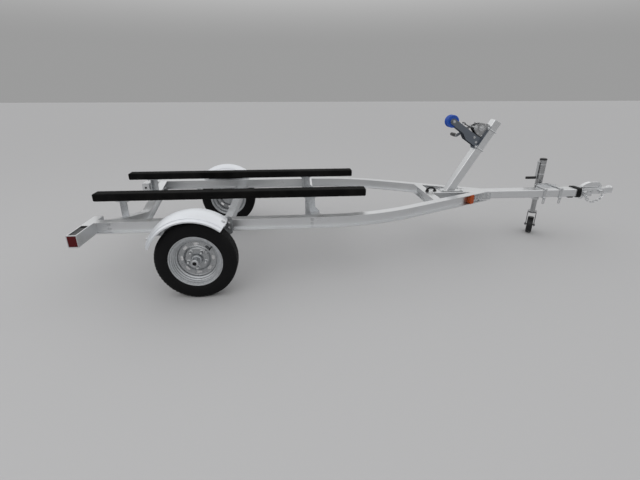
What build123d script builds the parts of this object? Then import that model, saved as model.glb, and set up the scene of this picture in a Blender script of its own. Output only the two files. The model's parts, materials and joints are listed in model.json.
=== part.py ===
from build123d import *
from math import acos, atan2, cos, degrees, hypot, pi, radians, sin, sqrt, tan
import os

# Bunk trailer for a small boat: bent I-beam rails, a box tongue, one torsion axle, a winch stand and a jack.
# Lengths in millimetres, angles in degrees.
# Stations run forward from the axle centre, +Y is the left side and z = 0 is the ground.
# Left-hand pieces are modelled first and mirrored to the right.

# Overall reach and fits
NOSE_REACH = 3384  # front of the coupler, ahead of the axle centre
GAP = 0.3  # clearance between seated curved faces
RUN = 0.5  # clearance between faces that turn against each other
BORE_FIT = 0.06  # radial clearance of a pin in its own bore
BRACKET_SHEET = 5  # plate of clips, posts and small brackets

# Side rails
RAIL_TOP = 469
RAIL_HEIGHT = 76.2
RAIL_WIDTH = 63.5
RAIL_FLANGE = 5.1
RAIL_WEB = 3.3
RAIL_Y = 571  # web of the straight stretch
RAIL_REAR = -656
BEND_START = 800
BEND_RADIUS = 1468
BEND_ANGLE = 27

# Tongue and the plates that join it to the rails
TONGUE_WIDTH = 101.6
TONGUE_HEIGHT = 63.5
TONGUE_WALL = 4.8
TONGUE_CORNER = 7
TONGUE_TOP = 472
TONGUE_FRONT = 3165
JOINT_ON_RAIL = 90
JOINT_ON_TONGUE = 92
JOINT_MARGIN = 5  # above and below the joint plate, to the rail's flanges

# Cross members and their clips
CROSS_SLOPE = 12.4
CROSS_BEND_RADIUS = 300
REAR_CROSS_X = -550
MIDDLE_CROSS_X = 778
FRONT_CROSS_X = 1740
CLIP_ON_BEAM = 80
CLIP_ON_RAIL = 46
CLIP_MARGIN = 8

# Wheels
WHEEL_RADIUS = 258
TRACK_HALF = 736
TYRE_WIDTH = 122
TREAD_WIDTH = 98
SHOULDER_DROP = 8
SIDE_SHARE = 0.44  # widest ring of the tyre, from the rim's edge to the tread
TYRE_FLATS = 90  # straight runs round the tyre
BEAD_RADIUS = 152.4
RIM_WIDTH = 101.6  # between the flanges
RIM_FLANGE_RADIUS = 169.3
RIM_SHEET = 3
RIM_WELL_RADIUS = 127
DISC_RECESS = 50  # disc face behind the outer flange
DISC_BORE_RADIUS = 34
VENT_COUNT = 8
VENT_CIRCLE = 97
VENT_LENGTH = 26
VENT_WIDTH = 15
STUD_COUNT = 5
STUD_CIRCLE = 114.3
STUD_TURN = 18
STUD_DIAMETER = 12.7
STUD_LENGTH = 30
NUT_SIZE = 19
NUT_HEIGHT = 16

# Hubs, axle beam and trailing arms
HUB_FLANGE_DIAMETER = 144
HUB_FLANGE = 10
HUB_BARREL_RADIUS = 32
HUB_INBOARD = 56
HUB_CAP_LENGTH = 82
HUB_CAP_RADIUS = 25
HUB_PLUG_RADIUS = 13
HUB_PLUG_DEPTH = 9
SPINDLE_DIAMETER = 27
BEAM_SIZE = 60
BEAM_WALL = 5
BEAM_HALF = 598
BEAM_X = 150
ARM_THICKNESS = 26
ARM_INNER_Y = 614
ARM_BOSS_RADIUS = 33
BAR_GRIP = 90  # torsion bar inside the beam
STRAP_THICKNESS = 6
STRAP_WIDTH = 52
STRAP_FLANGE = 34

# Fenders
FENDER_IN = 612
FENDER_OUT = 850
FENDER_EDGE_RADIUS = 289
FENDER_CROWN = 33
FENDER_SHEET = 2
FENDER_REAR_ANGLE = 156
FENDER_FRONT_ANGLE = 50
FENDER_LIP = 9
BEAD_INSET = 20
BEAD_WIDTH = 9
BEAD_HEIGHT = 2.4
FENDER_STRAP_DEGREES = 8
FENDER_STRAP = 4
FENDER_STRAP_MARGIN = 50
FENDER_PLATE = 5
FENDER_PLATE_WIDTH = 56
FENDER_PLATE_DROP = 24

# Bunks and posts
BUNK_REAR = -748
BUNK_LENGTH = 1900
BUNK_Y = 326.5
BUNK_WIDTH = 95
BUNK_HEIGHT = 53
BUNK_BOTTOM = 544
BUNK_EDGE = 10
REAR_CUT_LENGTH = 52
REAR_CUT_DEPTH = 30
FRONT_CUT_LENGTH = 35
FRONT_CUT_DEPTH = 33
LOWER_CUT = 11
POST_DEPTH = 38
POST_PLATE_LENGTH = 90
POST_PLATE_WIDTH = 70
POST_TAIL = 60  # reach of a post below the cross member's top
REAR_POST_WIDTH = 48
FRONT_POST_WIDTH = 34
FRONT_POST_PLATE = 36
FRONT_POST_FOOT = 69

# Lights
LIGHT_TUBE_REAR = -716
LIGHT_TUBE_INNER = 460
LIGHT_TUBE_OUTER = 824
LIGHT_TUBE_WALL = 4
LIGHT_SLOT_START = 650
LIGHT_SLOT_EDGE = 4
LAMP_LENGTH = 150
LAMP_MARGIN = 9  # from the tube's edges to its lens window
LAMP_PROUD = 4
LAMP_SIDE_PROUD = 2
WIRE_HOLE = 20
MARKER_BEHIND = 22  # from the joint plate back to the marker
MARKER_Z = 437
MARKER_LENGTH = 62
MARKER_HEIGHT = 52
MARKER_CORNER = 14
MARKER_BASE = 6
MARKER_PROUD = 19
MARKER_RIM = 3.5

# Winch stand
STAND_SETBACK = 158  # foot of the post's centre line, ahead of the tongue's rear end
STAND_Z = 490
STAND_LEAN = 30
STAND_LENGTH = 617
STAND_WIDTH = 76.2
STAND_DEPTH = 63.5
STAND_WALL = 4
STAND_CORNER = 6
STAND_PLATE = 7
STAND_PLATE_BEHIND = 80
STAND_PLATE_AHEAD = 100
STAND_PLATE_MARGIN = 4
U_BOLT = 9.5
U_BOLT_LOW = 377
U_BOLT_HIGH = 539
U_BOLT_TAIL = 12
CHEEK = 5
CHEEK_INNER = 33
ROLLER_S = 440
ROLLER_D = 312
ROLLER_RADIUS = 48
ROLLER_WAIST = 36
ROLLER_HALF = 28
ROLLER_PIN = 12.7
ROLLER_HEAD = 10.5
KEEPER_UP = 8  # keeper bar above the roller's line
KEEPER_BEHIND = 66  # keeper bar short of the roller's axis
KEEPER_RADIUS = 5

# Winch
WINCH_S = 512
WINCH_D = 84
WINCH_LOW = 457
WINCH_HIGH = 562
WINCH_SHEET = 4
SHAFT = 8
GEAR_MODULE = 2
GEAR_TEETH = 36
PINION_TEETH = 10
MESH_PLAY = 0.4
PINION_TURN = 113  # from the drum's axis to the crank's, in the stand's side view
CRANK_SHAFT = 6.5
GEAR_WIDTH = 5
FLANGE_RADIUS = 33
FLANGE_SHEET = 2.5
STRAP_HALF = 20
STRAP_SHEET = 3
STRAP_ROLL = 27
STRAP_FOLD = 55
RATCHET_RADIUS = 15
RATCHET_ROOT = 11.5
RATCHET_TEETH = 12
PAWL_RADIUS = 6
CRANK_TIP_S = 382
CRANK_TIP_D = 178
CRANK_ARM_Y = 74
CRANK_ARM = 6
CRANK_PEG = 5
CRANK_GRIP_LENGTH = 102
HOOK_BAR_S = 478
HOOK_BAR_D = 220
HOOK_BAR = 3.5
HOOK_SHEET = 4
HOOK_JAW = 10

# Jack
JACK_X = 2820
JACK_Y = 172
JACK_PIVOT_Z = 440
JACK_TUBE_RADIUS = 28.5
JACK_TUBE_WALL = 4
JACK_TOP = 690
JACK_TUBE_BOTTOM = 330
JACK_COLLAR = 14
JACK_PLATE = 6
JACK_PLATE_MARGIN = 16  # of the plate beyond its bolts
SWIVEL_Y = 112
SWIVEL_PLATE = 8
SWIVEL_LENGTH = 150
SWIVEL_HEIGHT = 96
SWIVEL_PIN = 15
SWIVEL_PIN_LENGTH = 14
SADDLE_HALF = 20
ARM_HALF = 46
ARM_RISE = 38
ARM_DROP = 40
CLAMP_REAR = 78
CLAMP_FRONT = 62
CLAMP_WIDTH = 22
CLAMP_BOLT = 10
CLAMP_NUT = 9
CLAMP_NUT_HEIGHT = 8
LOCK_AHEAD = 60
LOCK_UP = 26
LOCK_KNOB = 11
JACK_CRANK_DROP = 26
JACK_CRANK_THROW = 137
JACK_CRANK_OFFSET = 40
JACK_CRANK_BAR = 22
JACK_GRIP_LENGTH = 86
JACK_GRIP_RADIUS = 11.5
LEG_RADIUS = 20.5
LEG_WALL = 4
LEG_BOTTOM = 212
LEG_TOP = 570
LEG_FLANGE = 7
CASTER_TURN = 34.6  # rest heading of the wheel's trail, from +Y towards the front
CASTER_RADIUS = 76
CASTER_WIDTH = 50
CASTER_TRAIL = 38
CASTER_STEM = 20
CASTER_PIN = 12.7
CASTER_SIDE = 6  # between wheel and fork
FORK_SHEET = 6

# Coupler and safety chains
COUPLER_REAR = 3080
COUPLER_SHEET = 4.5
COUPLER_DEPTH = 46
COUPLER_TAPER = 3255
COUPLER_NECK = 3318
COUPLER_RIM = 6
COUPLER_RIM_SHEET = 4
BALL_RADIUS = 25.4  # 2 in ball
BALL_ROOM = 0.6
BALL_DROP = 14  # ball centre under the top sheet
LEVER_HALF = 17
LEVER_SHEET = 3
LEVER_RISE = 44
LEVER_PIN = 5
CHAIN_WIRE = 7
CHAIN_LINK_LENGTH = 45
CHAIN_LINK_WIDTH = 28
CHAIN_COUNT = 8
CHAIN_PLAY = 1
CHAIN_START = -82  # slope of the first link
CHAIN_TURN = 20  # from each link to the next
CHAIN_BOLT_X = 3090
CHAIN_BOLT_Z = 446
CHAIN_BOLT = 5
CHAIN_STANDOFF = 12
CHAIN_SPACER = 9
CHAIN_HEAD = 10
CHAIN_HEAD_LENGTH = 5
HOOK_WIRE = 6
HOOK_LOWER = 11
HOOK_STEP = 45
HOOK_LEG = 34
HOOK_ARM = 4  # side arms of the strap's hook
HOOK_PLAY = 0.7

# Wiring
LEAD_RADIUS = 4
LEAD_TURNS = 4
LEAD_PITCH = 10.5
LEAD_START = 3022
LEAD_PLUG_Y = -30
LEAD_HOLE_X = 3104
LEAD_HOLE = 7.5
PLUG_LENGTH = 44
PLUG_WIDTH = 24
PLUG_HEIGHT = 11
HARNESS_RADIUS = 7
HARNESS_RISE = 28
HARNESS_BEND = 22
HARNESS_ON_TONGUE = 34
HARNESS_ON_CROSS = 2
HARNESS_COLLAR = 12

REAR_REACH = max(-BUNK_REAR, LAMP_PROUD - LIGHT_TUBE_REAR)
BALL_X = NOSE_REACH - COUPLER_RIM - BALL_RADIUS - BALL_ROOM - COUPLER_SHEET
RAIL_BOTTOM = RAIL_TOP - RAIL_HEIGHT
RAIL_INNER_EDGE = RAIL_Y - RAIL_WIDTH / 2
RAIL_OUTER_EDGE = RAIL_Y + RAIL_WIDTH / 2
TONGUE_HALF = TONGUE_WIDTH / 2
TONGUE_BOTTOM = TONGUE_TOP - TONGUE_HEIGHT
TONGUE_REAR = FRONT_CROSS_X + RAIL_WIDTH / 2
STAND_X = TONGUE_REAR + STAND_SETBACK
WHEEL_AXIS = Axis((0, 0, WHEEL_RADIUS), (0, 1, 0))
OUTER_FLANGE_Y = TRACK_HALF + RIM_WIDTH / 2 + 2 * RIM_SHEET
DISC_FACE_Y = OUTER_FLANGE_Y - DISC_RECESS
BEAM_TOP = RAIL_BOTTOM
BEAM_Z = BEAM_TOP - BEAM_SIZE / 2
COUPLER_HALF = TONGUE_HALF + GAP + COUPLER_SHEET
COUPLER_TOP = TONGUE_TOP + GAP + COUPLER_SHEET
HOOK_UPPER = (CHAIN_BOLT + GAP + HOOK_WIRE / 2) / cos(radians(HOOK_STEP / 2))
FAR = 4000  # half size of a cutting block
NODES = {}


def left_of(y):
    return Pos(0, y + FAR, 0) * Box(2 * FAR, 2 * FAR, 2 * FAR)


def add(name, shape):
    NODES[name] = shape


def add_pair(name, shape):
    add(name + "_left", shape)
    add(name + "_right", mirror(shape, about=Plane.XZ))


def block(x0, x1, y0, y1, z0, z1):
    return Pos((x0 + x1) / 2, (y0 + y1) / 2, (z0 + z1) / 2) * Box(x1 - x0, y1 - y0, z1 - z0)


def rod(start, end, radius):
    a = Vector(*start)
    b = Vector(*end)
    return Plane(origin=a, z_dir=b - a) * extrude(Circle(radius), (b - a).length)


def tube(start, end, radius, wall):
    return rod(start, end, radius) - rod(start, end, radius - wall)


def strip(points, thickness):
    # Section of bent sheet: the line through the points, thickened to its left with mitred corners.
    normals = []
    for (x0, y0), (x1, y1) in zip(points, points[1:]):
        length = hypot(x1 - x0, y1 - y0)
        normals.append((-(y1 - y0) / length, (x1 - x0) / length))
    offset_points = []
    for i, (x, y) in enumerate(points):
        a = normals[max(i - 1, 0)]
        b = normals[min(i, len(normals) - 1)]
        scale = thickness / (1 + a[0] * b[0] + a[1] * b[1])
        offset_points.append((x + (a[0] + b[0]) * scale, y + (a[1] + b[1]) * scale))
    return make_face(Polyline(*points, *offset_points[::-1], close=True))


def bar(points, thickness):
    # Section of a bent bar whose middle line runs through the points.
    return strip(points, thickness / 2) + strip(points[::-1], thickness / 2)


def prism(face, plane, amount, both=False):
    return extrude(plane * face, amount, both=both)


def hose(points, bend, radius):
    # Round section with eight flats, carried along straight runs joined by tangent arcs.
    path = FilletPolyline(*points, radius=bend)
    return sweep(Plane(origin=path @ 0, z_dir=path % 0) * RegularPolygon(radius, 8), path)


# Side rails: flanges and web are bands along the same bent centre line, cut off at the tongue.
def bend_end():
    turn = radians(BEND_ANGLE)
    return (BEND_START + BEND_RADIUS * sin(turn), RAIL_Y - BEND_RADIUS + BEND_RADIUS * cos(turn))


def joint_corner():
    # Where the outer face of the rail's web meets the tongue's side.
    turn = radians(BEND_ANGLE)
    end = bend_end()
    face = (end[0] + RAIL_WEB / 2 * sin(turn), end[1] + RAIL_WEB / 2 * cos(turn))
    return (face[0] + (face[1] - TONGUE_HALF) / tan(turn), TONGUE_HALF)


def rail_line(offset):
    centre = (BEND_START, RAIL_Y - BEND_RADIUS)
    radius = BEND_RADIUS + offset
    turn = radians(BEND_ANGLE)
    end = (centre[0] + radius * sin(turn), centre[1] + radius * cos(turn))
    front = (end[0] + end[1] / tan(turn), 0)
    return [
        Line((RAIL_REAR, RAIL_Y + offset), (BEND_START, RAIL_Y + offset)),
        CenterArc(centre, radius, 90 - BEND_ANGLE, BEND_ANGLE),
        Line(end, front),
    ]


def rail_band(width):
    outer = rail_line(width / 2)
    inner = rail_line(-width / 2)
    rear_edge = Line((RAIL_REAR, RAIL_Y - width / 2), (RAIL_REAR, RAIL_Y + width / 2))
    front_edge = Line(outer[-1] @ 1, inner[-1] @ 1)
    return make_face(outer + inner + [rear_edge, front_edge])


def make_rails():
    flange = rail_band(RAIL_WIDTH)
    top = extrude(Pos(0, 0, RAIL_TOP - RAIL_FLANGE) * flange, RAIL_FLANGE)
    bottom = extrude(Pos(0, 0, RAIL_BOTTOM) * flange, RAIL_FLANGE)
    web = extrude(Pos(0, 0, RAIL_BOTTOM) * rail_band(RAIL_WEB), RAIL_HEIGHT)
    rail = (top + bottom + web) & left_of(TONGUE_HALF)
    add_pair("rail", rail)
    return extrude(Pos(0, 0, RAIL_BOTTOM) * rail_band(RAIL_WIDTH), RAIL_HEIGHT)


def make_tongue():
    outside = RectangleRounded(TONGUE_WIDTH, TONGUE_HEIGHT, TONGUE_CORNER)
    wall = 2 * TONGUE_WALL
    inside = RectangleRounded(TONGUE_WIDTH - wall, TONGUE_HEIGHT - wall, TONGUE_CORNER / 2)
    section = Pos(0, TONGUE_TOP - TONGUE_HEIGHT / 2) * (outside - inside)
    tongue = prism(section, Plane.YZ.offset(TONGUE_REAR), TONGUE_FRONT - TONGUE_REAR)
    hole_x = LEAD_HOLE_X - LEAD_RADIUS / 2
    tongue -= rod((hole_x, 0, 0), (hole_x, 0, TONGUE_TOP - TONGUE_HEIGHT / 2), LEAD_HOLE)
    add("tongue", tongue)
    # Bent plate on each side, from the rail's web to the tongue's side.
    turn = radians(BEND_ANGLE)
    corner = joint_corner()
    rear = (corner[0] - JOINT_ON_RAIL * cos(turn), corner[1] + JOINT_ON_RAIL * sin(turn))
    front = (corner[0] + JOINT_ON_TONGUE, TONGUE_HALF)
    low = RAIL_BOTTOM + RAIL_FLANGE + JOINT_MARGIN
    high = RAIL_TOP - RAIL_FLANGE - JOINT_MARGIN
    plate = extrude(Pos(0, 0, low) * strip([rear, corner, front], BRACKET_SHEET), high - low)
    add("tongue_joint_plates", Compound([plate.solid(), mirror(plate.solid(), about=Plane.XZ)]))


# Bent cross members: the top of each wing meets the rail's top, the middle dips in one arc.
def cross_centre():
    slope = radians(CROSS_SLOPE)
    vertex = RAIL_TOP - RAIL_INNER_EDGE * tan(slope) - RAIL_HEIGHT / 2 / cos(slope)
    return vertex + CROSS_BEND_RADIUS / cos(slope)


def cross_band(low, high):
    slope = radians(CROSS_SLOPE)
    centre = cross_centre()
    lines = []
    ends = []
    for offset in (low, high):
        radius = CROSS_BEND_RADIUS - offset
        y = radius * sin(slope)
        z = centre - radius * cos(slope)
        reach = RAIL_INNER_EDGE + RAIL_HEIGHT
        end_z = z + (reach - y) * tan(slope)
        lines.append(CenterArc((0, centre), radius, 270 - CROSS_SLOPE, 2 * CROSS_SLOPE))
        lines.append(Line((y, z), (reach, end_z)))
        lines.append(Line((-y, z), (-reach, end_z)))
        ends.append((reach, end_z))
    lines.append(Line(*ends))
    lines.append(Line(*[(-y, z) for y, z in ends]))
    return make_face(lines)


def cross_top(y):
    slope = radians(CROSS_SLOPE)
    return RAIL_TOP - (RAIL_INNER_EDGE - abs(y)) * tan(slope)


def make_cross_members(rail_block):
    half = RAIL_HEIGHT / 2
    wing_end = RAIL_INNER_EDGE - GAP
    between = block(-FAR, FAR, -wing_end, wing_end, 0, FAR)
    envelopes = {}
    for name, x in (("rear", REAR_CROSS_X), ("middle", MIDDLE_CROSS_X)):
        top = prism(cross_band(half - RAIL_FLANGE, half), Plane.YZ.offset(x), RAIL_WIDTH / 2, both=True)
        bottom = prism(cross_band(-half, RAIL_FLANGE - half), Plane.YZ.offset(x), RAIL_WIDTH / 2, both=True)
        web = prism(cross_band(-half, half), Plane.YZ.offset(x), RAIL_WEB / 2, both=True)
        beam = (top + bottom + web) & between
        clip = clip_angle(x)
        add("cross_member_" + name, beam + clip + mirror(clip, about=Plane.XZ))
        envelopes[name] = prism(cross_band(-half, half), Plane.YZ.offset(x), RAIL_WIDTH / 2, both=True)
    rear_x = FRONT_CROSS_X - RAIL_WIDTH / 2
    front_x = FRONT_CROSS_X + RAIL_WIDTH / 2
    front = block(rear_x, front_x, -RAIL_Y, RAIL_Y, RAIL_BOTTOM, RAIL_TOP)
    for sign in (-1, 1):
        x = FRONT_CROSS_X + sign * (RAIL_WIDTH + RAIL_WEB) / 4
        depth = (RAIL_WIDTH - RAIL_WEB) / 2
        low = RAIL_BOTTOM + RAIL_FLANGE
        front -= block(x - depth / 2, x + depth / 2, -RAIL_Y, RAIL_Y, low, RAIL_TOP - RAIL_FLANGE)
    front -= rail_block + mirror(rail_block, about=Plane.XZ)
    inner = front.solids().sort_by(lambda s: abs(s.center().Y))[0]
    add("cross_member_front", inner)
    return envelopes


def clip_angle(x):
    # Angle that bolts the cross member's web to the rail's web.
    web_face = x - RAIL_WEB / 2
    rail_face = RAIL_Y - RAIL_WEB / 2
    low = RAIL_BOTTOM + RAIL_FLANGE + CLIP_MARGIN
    high = RAIL_TOP - RAIL_FLANGE - CLIP_MARGIN
    on_beam = block(web_face - BRACKET_SHEET, web_face, rail_face - CLIP_ON_BEAM, rail_face, low, high)
    on_rail = block(web_face - CLIP_ON_RAIL, web_face, rail_face - BRACKET_SHEET, rail_face, low, high)
    return on_beam + on_rail


# Wheels: every section is drawn as (distance along the axle, radius) and turned about the axle.
def turned(face):
    return revolve(Plane.YZ * Pos(0, WHEEL_RADIUS) * face, WHEEL_AXIS, 360)


def tyre_section():
    bead_y = RIM_WIDTH / 2 - GAP
    side_r = RIM_FLANGE_RADIUS + SIDE_SHARE * (WHEEL_RADIUS - RIM_FLANGE_RADIUS)
    half = [
        (bead_y, BEAD_RADIUS + GAP),
        (bead_y, RIM_FLANGE_RADIUS + 2),
        (TYRE_WIDTH / 2, side_r),
        (TREAD_WIDTH / 2 + SHOULDER_DROP / 4, WHEEL_RADIUS - SHOULDER_DROP),
        (TREAD_WIDTH / 2 - SHOULDER_DROP, WHEEL_RADIUS),
    ]
    return make_face(Polyline(*half, *[(-y, r) for y, r in half[::-1]], close=True))


def ring_of_flats(face, radius, count):
    # A section carried round the axle on short straight runs with mitred joints, from the middle of the top one.
    turns = [2 * pi * (i + 0.5) / count for i in range(count)]
    corners = [(radius * sin(turn), 0, radius * cos(turn)) for turn in turns]
    path = Polyline((0, 0, radius * cos(pi / count)), *corners, close=True)
    return Pos(0, 0, WHEEL_RADIUS) * sweep(Plane.YZ * face, path=path, transition=Transition.RIGHT)


def rim_section():
    half = RIM_WIDTH / 2
    points = [
        (-half - RIM_SHEET, RIM_FLANGE_RADIUS),
        (-half, RIM_FLANGE_RADIUS - 5),
        (-half, BEAD_RADIUS),
        (-half + 22, BEAD_RADIUS - 2),
        (-half + 30, RIM_WELL_RADIUS),
        (half - 40, RIM_WELL_RADIUS),
        (half - 24, BEAD_RADIUS - 2),
        (half, BEAD_RADIUS),
        (half, RIM_FLANGE_RADIUS - 5),
        (half + RIM_SHEET, RIM_FLANGE_RADIUS),
    ]
    return strip(points[::-1], RIM_SHEET)


def disc_section():
    face = DISC_FACE_Y - TRACK_HALF
    wall = RIM_WELL_RADIUS - RIM_SHEET
    points = [
        (face, DISC_BORE_RADIUS),
        (face, STUD_CIRCLE / 2 + 14),
        (face + 9, VENT_CIRCLE - 11),
        (face + 9, VENT_CIRCLE + 9),
        (face - 6, wall + RIM_SHEET / 6),
        (face - 16, wall + RIM_SHEET / 6),
    ]
    return strip(points, RIM_SHEET)


def around_wheel(count, radius, shape, start=0):
    places = [Pos(0, 0, WHEEL_RADIUS) * Rot(0, start + 360 * i / count, 0) for i in range(count)]
    return [place * Pos(radius, 0, 0) * shape for place in places]


def make_wheels():
    move = Pos(0, TRACK_HALF, 0)
    add_pair("tyre", move * ring_of_flats(tyre_section(), BEAD_RADIUS, TYRE_FLATS))
    disc = turned(disc_section())
    vent = Rot(90, 0, 0) * extrude(SlotOverall(VENT_LENGTH, VENT_WIDTH, rotation=90), RIM_WIDTH, both=True)
    stud_hole = Rot(90, 0, 0) * Cylinder(STUD_DIAMETER / 2 + GAP, RIM_WIDTH)
    for cutter in around_wheel(VENT_COUNT, VENT_CIRCLE, vent):
        disc -= cutter
    for cutter in around_wheel(STUD_COUNT, STUD_CIRCLE / 2, stud_hole, STUD_TURN):
        disc -= cutter
    add_pair("wheel_rim", move * (turned(rim_section()) + disc))
    seat = DISC_FACE_Y - RIM_SHEET
    bore = SPINDLE_DIAMETER / 2 + BORE_FIT
    section = Polyline(
        (seat, bore),
        (seat - HUB_INBOARD, bore),
        (seat - HUB_INBOARD, HUB_BARREL_RADIUS),
        (seat - HUB_FLANGE - 4, HUB_BARREL_RADIUS + 4),
        (seat - HUB_FLANGE, HUB_FLANGE_DIAMETER / 2),
        (seat, HUB_FLANGE_DIAMETER / 2),
        (seat, DISC_BORE_RADIUS - 1),
        (seat + 22, HUB_BARREL_RADIUS - 1),
        (seat + 24, HUB_CAP_RADIUS),
        (seat + HUB_CAP_LENGTH - 4, HUB_CAP_RADIUS),
        (seat + HUB_CAP_LENGTH, HUB_CAP_RADIUS - 4),
        (seat + HUB_CAP_LENGTH, HUB_PLUG_RADIUS),
        (seat + HUB_CAP_LENGTH - HUB_PLUG_DEPTH, HUB_PLUG_RADIUS),
        (seat + HUB_CAP_LENGTH - HUB_PLUG_DEPTH, 0),
        (seat + 14, 0),
        (seat + 14, bore),
        close=True,
    )
    hub = turned(make_face(section))
    shank = Rot(90, 0, 0) * Cylinder(STUD_DIAMETER / 2, STUD_LENGTH)
    for stud in around_wheel(STUD_COUNT, STUD_CIRCLE / 2, Pos(0, seat + HUB_FLANGE, 0) * shank, STUD_TURN):
        hub += stud
    nut = RegularPolygon(NUT_SIZE / sqrt(3), 6) - Circle(STUD_DIAMETER / 2 + BORE_FIT)
    nut_solid = Pos(0, DISC_FACE_Y, 0) * Rot(-90, 0, 0) * extrude(nut, NUT_HEIGHT)
    nuts = around_wheel(STUD_COUNT, STUD_CIRCLE / 2, nut_solid, STUD_TURN)
    add_pair("hub", Compound([hub.solid()] + nuts))


def make_axle():
    outer = RectangleRounded(BEAM_SIZE, BEAM_SIZE, 6)
    inner = RectangleRounded(BEAM_SIZE - 2 * BEAM_WALL, BEAM_SIZE - 2 * BEAM_WALL, 2)
    section = Plane.XZ * Pos(BEAM_X, BEAM_Z) * (outer - inner)
    add("axle_beam", extrude(section, BEAM_HALF, both=True))
    half = BEAM_SIZE / 2
    seat = BEAM_TOP - STRAP_THICKNESS
    points = [
        (BEAM_X - half - STRAP_FLANGE, seat),
        (BEAM_X - half - STRAP_THICKNESS, seat),
        (BEAM_X - half - STRAP_THICKNESS, seat - BEAM_SIZE),
        (BEAM_X + half + STRAP_THICKNESS, seat - BEAM_SIZE),
        (BEAM_X + half + STRAP_THICKNESS, seat),
        (BEAM_X + half + STRAP_FLANGE, seat),
    ]
    strap = Plane.XZ.offset(-RAIL_Y) * strip(points, STRAP_THICKNESS)
    add_pair("axle_bracket", extrude(strap, STRAP_WIDTH / 2, both=True))
    # Trailing arm: a plate from the torsion bar's end to the spindle, with the square bar inside the beam.
    drop = atan2(BEAM_Z - WHEEL_RADIUS, BEAM_X)
    length = hypot(BEAM_Z - WHEEL_RADIUS, BEAM_X)
    plane = Plane(origin=(BEAM_X, ARM_INNER_Y, BEAM_Z), x_dir=(-cos(drop), 0, -sin(drop)), z_dir=(0, 1, 0))
    small = SPINDLE_DIAMETER / 2 + 14
    outline = make_hull((Circle(ARM_BOSS_RADIUS) + Pos(length, 0) * Circle(small)).edges())
    arm = prism(outline, plane, ARM_THICKNESS)
    side = (BEAM_SIZE - 2 * BEAM_WALL - 2 * GAP) / sqrt(2)
    bar_start = BEAM_HALF - BAR_GRIP
    bar_plane = Plane(origin=(BEAM_X, bar_start, BEAM_Z), x_dir=(1, 0, 0), z_dir=(0, 1, 0))
    arm += prism(Rectangle(side, side, rotation=45), bar_plane, ARM_INNER_Y - bar_start)
    arm += rod((0, ARM_INNER_Y, WHEEL_RADIUS), (0, DISC_FACE_Y + 10, WHEEL_RADIUS), SPINDLE_DIAMETER / 2)
    add_pair("axle_arm", arm)


# Fenders: one shallow arc across, turned about the axle.
def fender_face(low, high, y_start, y_end):
    chord = (FENDER_OUT - FENDER_IN) / 2
    radius = (chord**2 + FENDER_CROWN**2) / (2 * FENDER_CROWN)
    centre = ((FENDER_IN + FENDER_OUT) / 2, FENDER_EDGE_RADIUS + FENDER_CROWN - radius)
    angles = [degrees(atan2(sqrt(radius**2 - (y - centre[0]) ** 2), y - centre[0])) for y in (y_end, y_start)]
    arcs = [CenterArc(centre, radius + offset, angles[0], angles[1] - angles[0]) for offset in (low, high)]
    ends = [Line(arcs[0] @ t, arcs[1] @ t) for t in (0, 1)]
    return make_face(arcs + ends)


def over_wheel(face, start_angle, end_angle):
    # A section drawn above the axle, turned over the wheel from the front angle back to the rear one.
    placed = (Plane.YZ * Pos(0, WHEEL_RADIUS) * face).rotate(WHEEL_AXIS, 90 - end_angle)
    return revolve(placed, WHEEL_AXIS, end_angle - start_angle)


def make_fenders():
    # The sheet, a raised bead along each edge, and the rolled outer lip.
    sheet = fender_face(-FENDER_SHEET, 0, FENDER_IN, FENDER_OUT)
    fender = over_wheel(sheet, FENDER_FRONT_ANGLE, FENDER_REAR_ANGLE)
    for start in (FENDER_IN + BEAD_INSET, FENDER_OUT - BEAD_INSET - BEAD_WIDTH):
        bead = fender_face(-FENDER_SHEET / 2, BEAD_HEIGHT, start, start + BEAD_WIDTH)
        fender += over_wheel(bead, FENDER_FRONT_ANGLE, FENDER_REAR_ANGLE)
    lip_low = FENDER_EDGE_RADIUS - FENDER_LIP
    lip = Rectangle(FENDER_SHEET, FENDER_LIP)
    lip = Pos(FENDER_OUT - FENDER_SHEET / 2, lip_low + FENDER_LIP / 2) * lip
    add_pair("fender", fender + over_wheel(lip, FENDER_FRONT_ANGLE, FENDER_REAR_ANGLE))
    plate_outer = RAIL_OUTER_EDGE + FENDER_PLATE
    under = -FENDER_SHEET - GAP
    reach = FENDER_OUT - FENDER_STRAP_MARGIN
    strap_face = fender_face(under - FENDER_STRAP, under, plate_outer - 2, reach)
    brackets = []
    # Lower end of the strap round the wheel, and the station of its plate on the rail.
    rear_middle = radians(FENDER_REAR_ANGLE - 1 - FENDER_STRAP_DEGREES / 2)
    places = (
        (FENDER_FRONT_ANGLE - 1, BEAM_X + BEAM_SIZE / 2 + 12),
        (FENDER_REAR_ANGLE - 1 - FENDER_STRAP_DEGREES, FENDER_EDGE_RADIUS * cos(rear_middle)),
    )
    for near, x in places:
        strap = over_wheel(strap_face, near, near + FENDER_STRAP_DEGREES)
        z = WHEEL_RADIUS + FENDER_EDGE_RADIUS * sin(radians(near + FENDER_STRAP_DEGREES / 2))
        low = RAIL_BOTTOM - FENDER_PLATE_DROP
        high = max(z + 6, RAIL_TOP - 20)
        outline = RectangleRounded(FENDER_PLATE_WIDTH, high - low, FENDER_PLATE_WIDTH * 0.45)
        plane = Plane.XZ.offset(-plate_outer)
        plate = extrude(plane * Pos(x, (low + high) / 2) * outline, FENDER_PLATE)
        brackets.append((strap + plate) & left_of(RAIL_OUTER_EDGE))
    add_pair("fender_brackets", Compound([bracket.solid() for bracket in brackets]))


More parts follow.
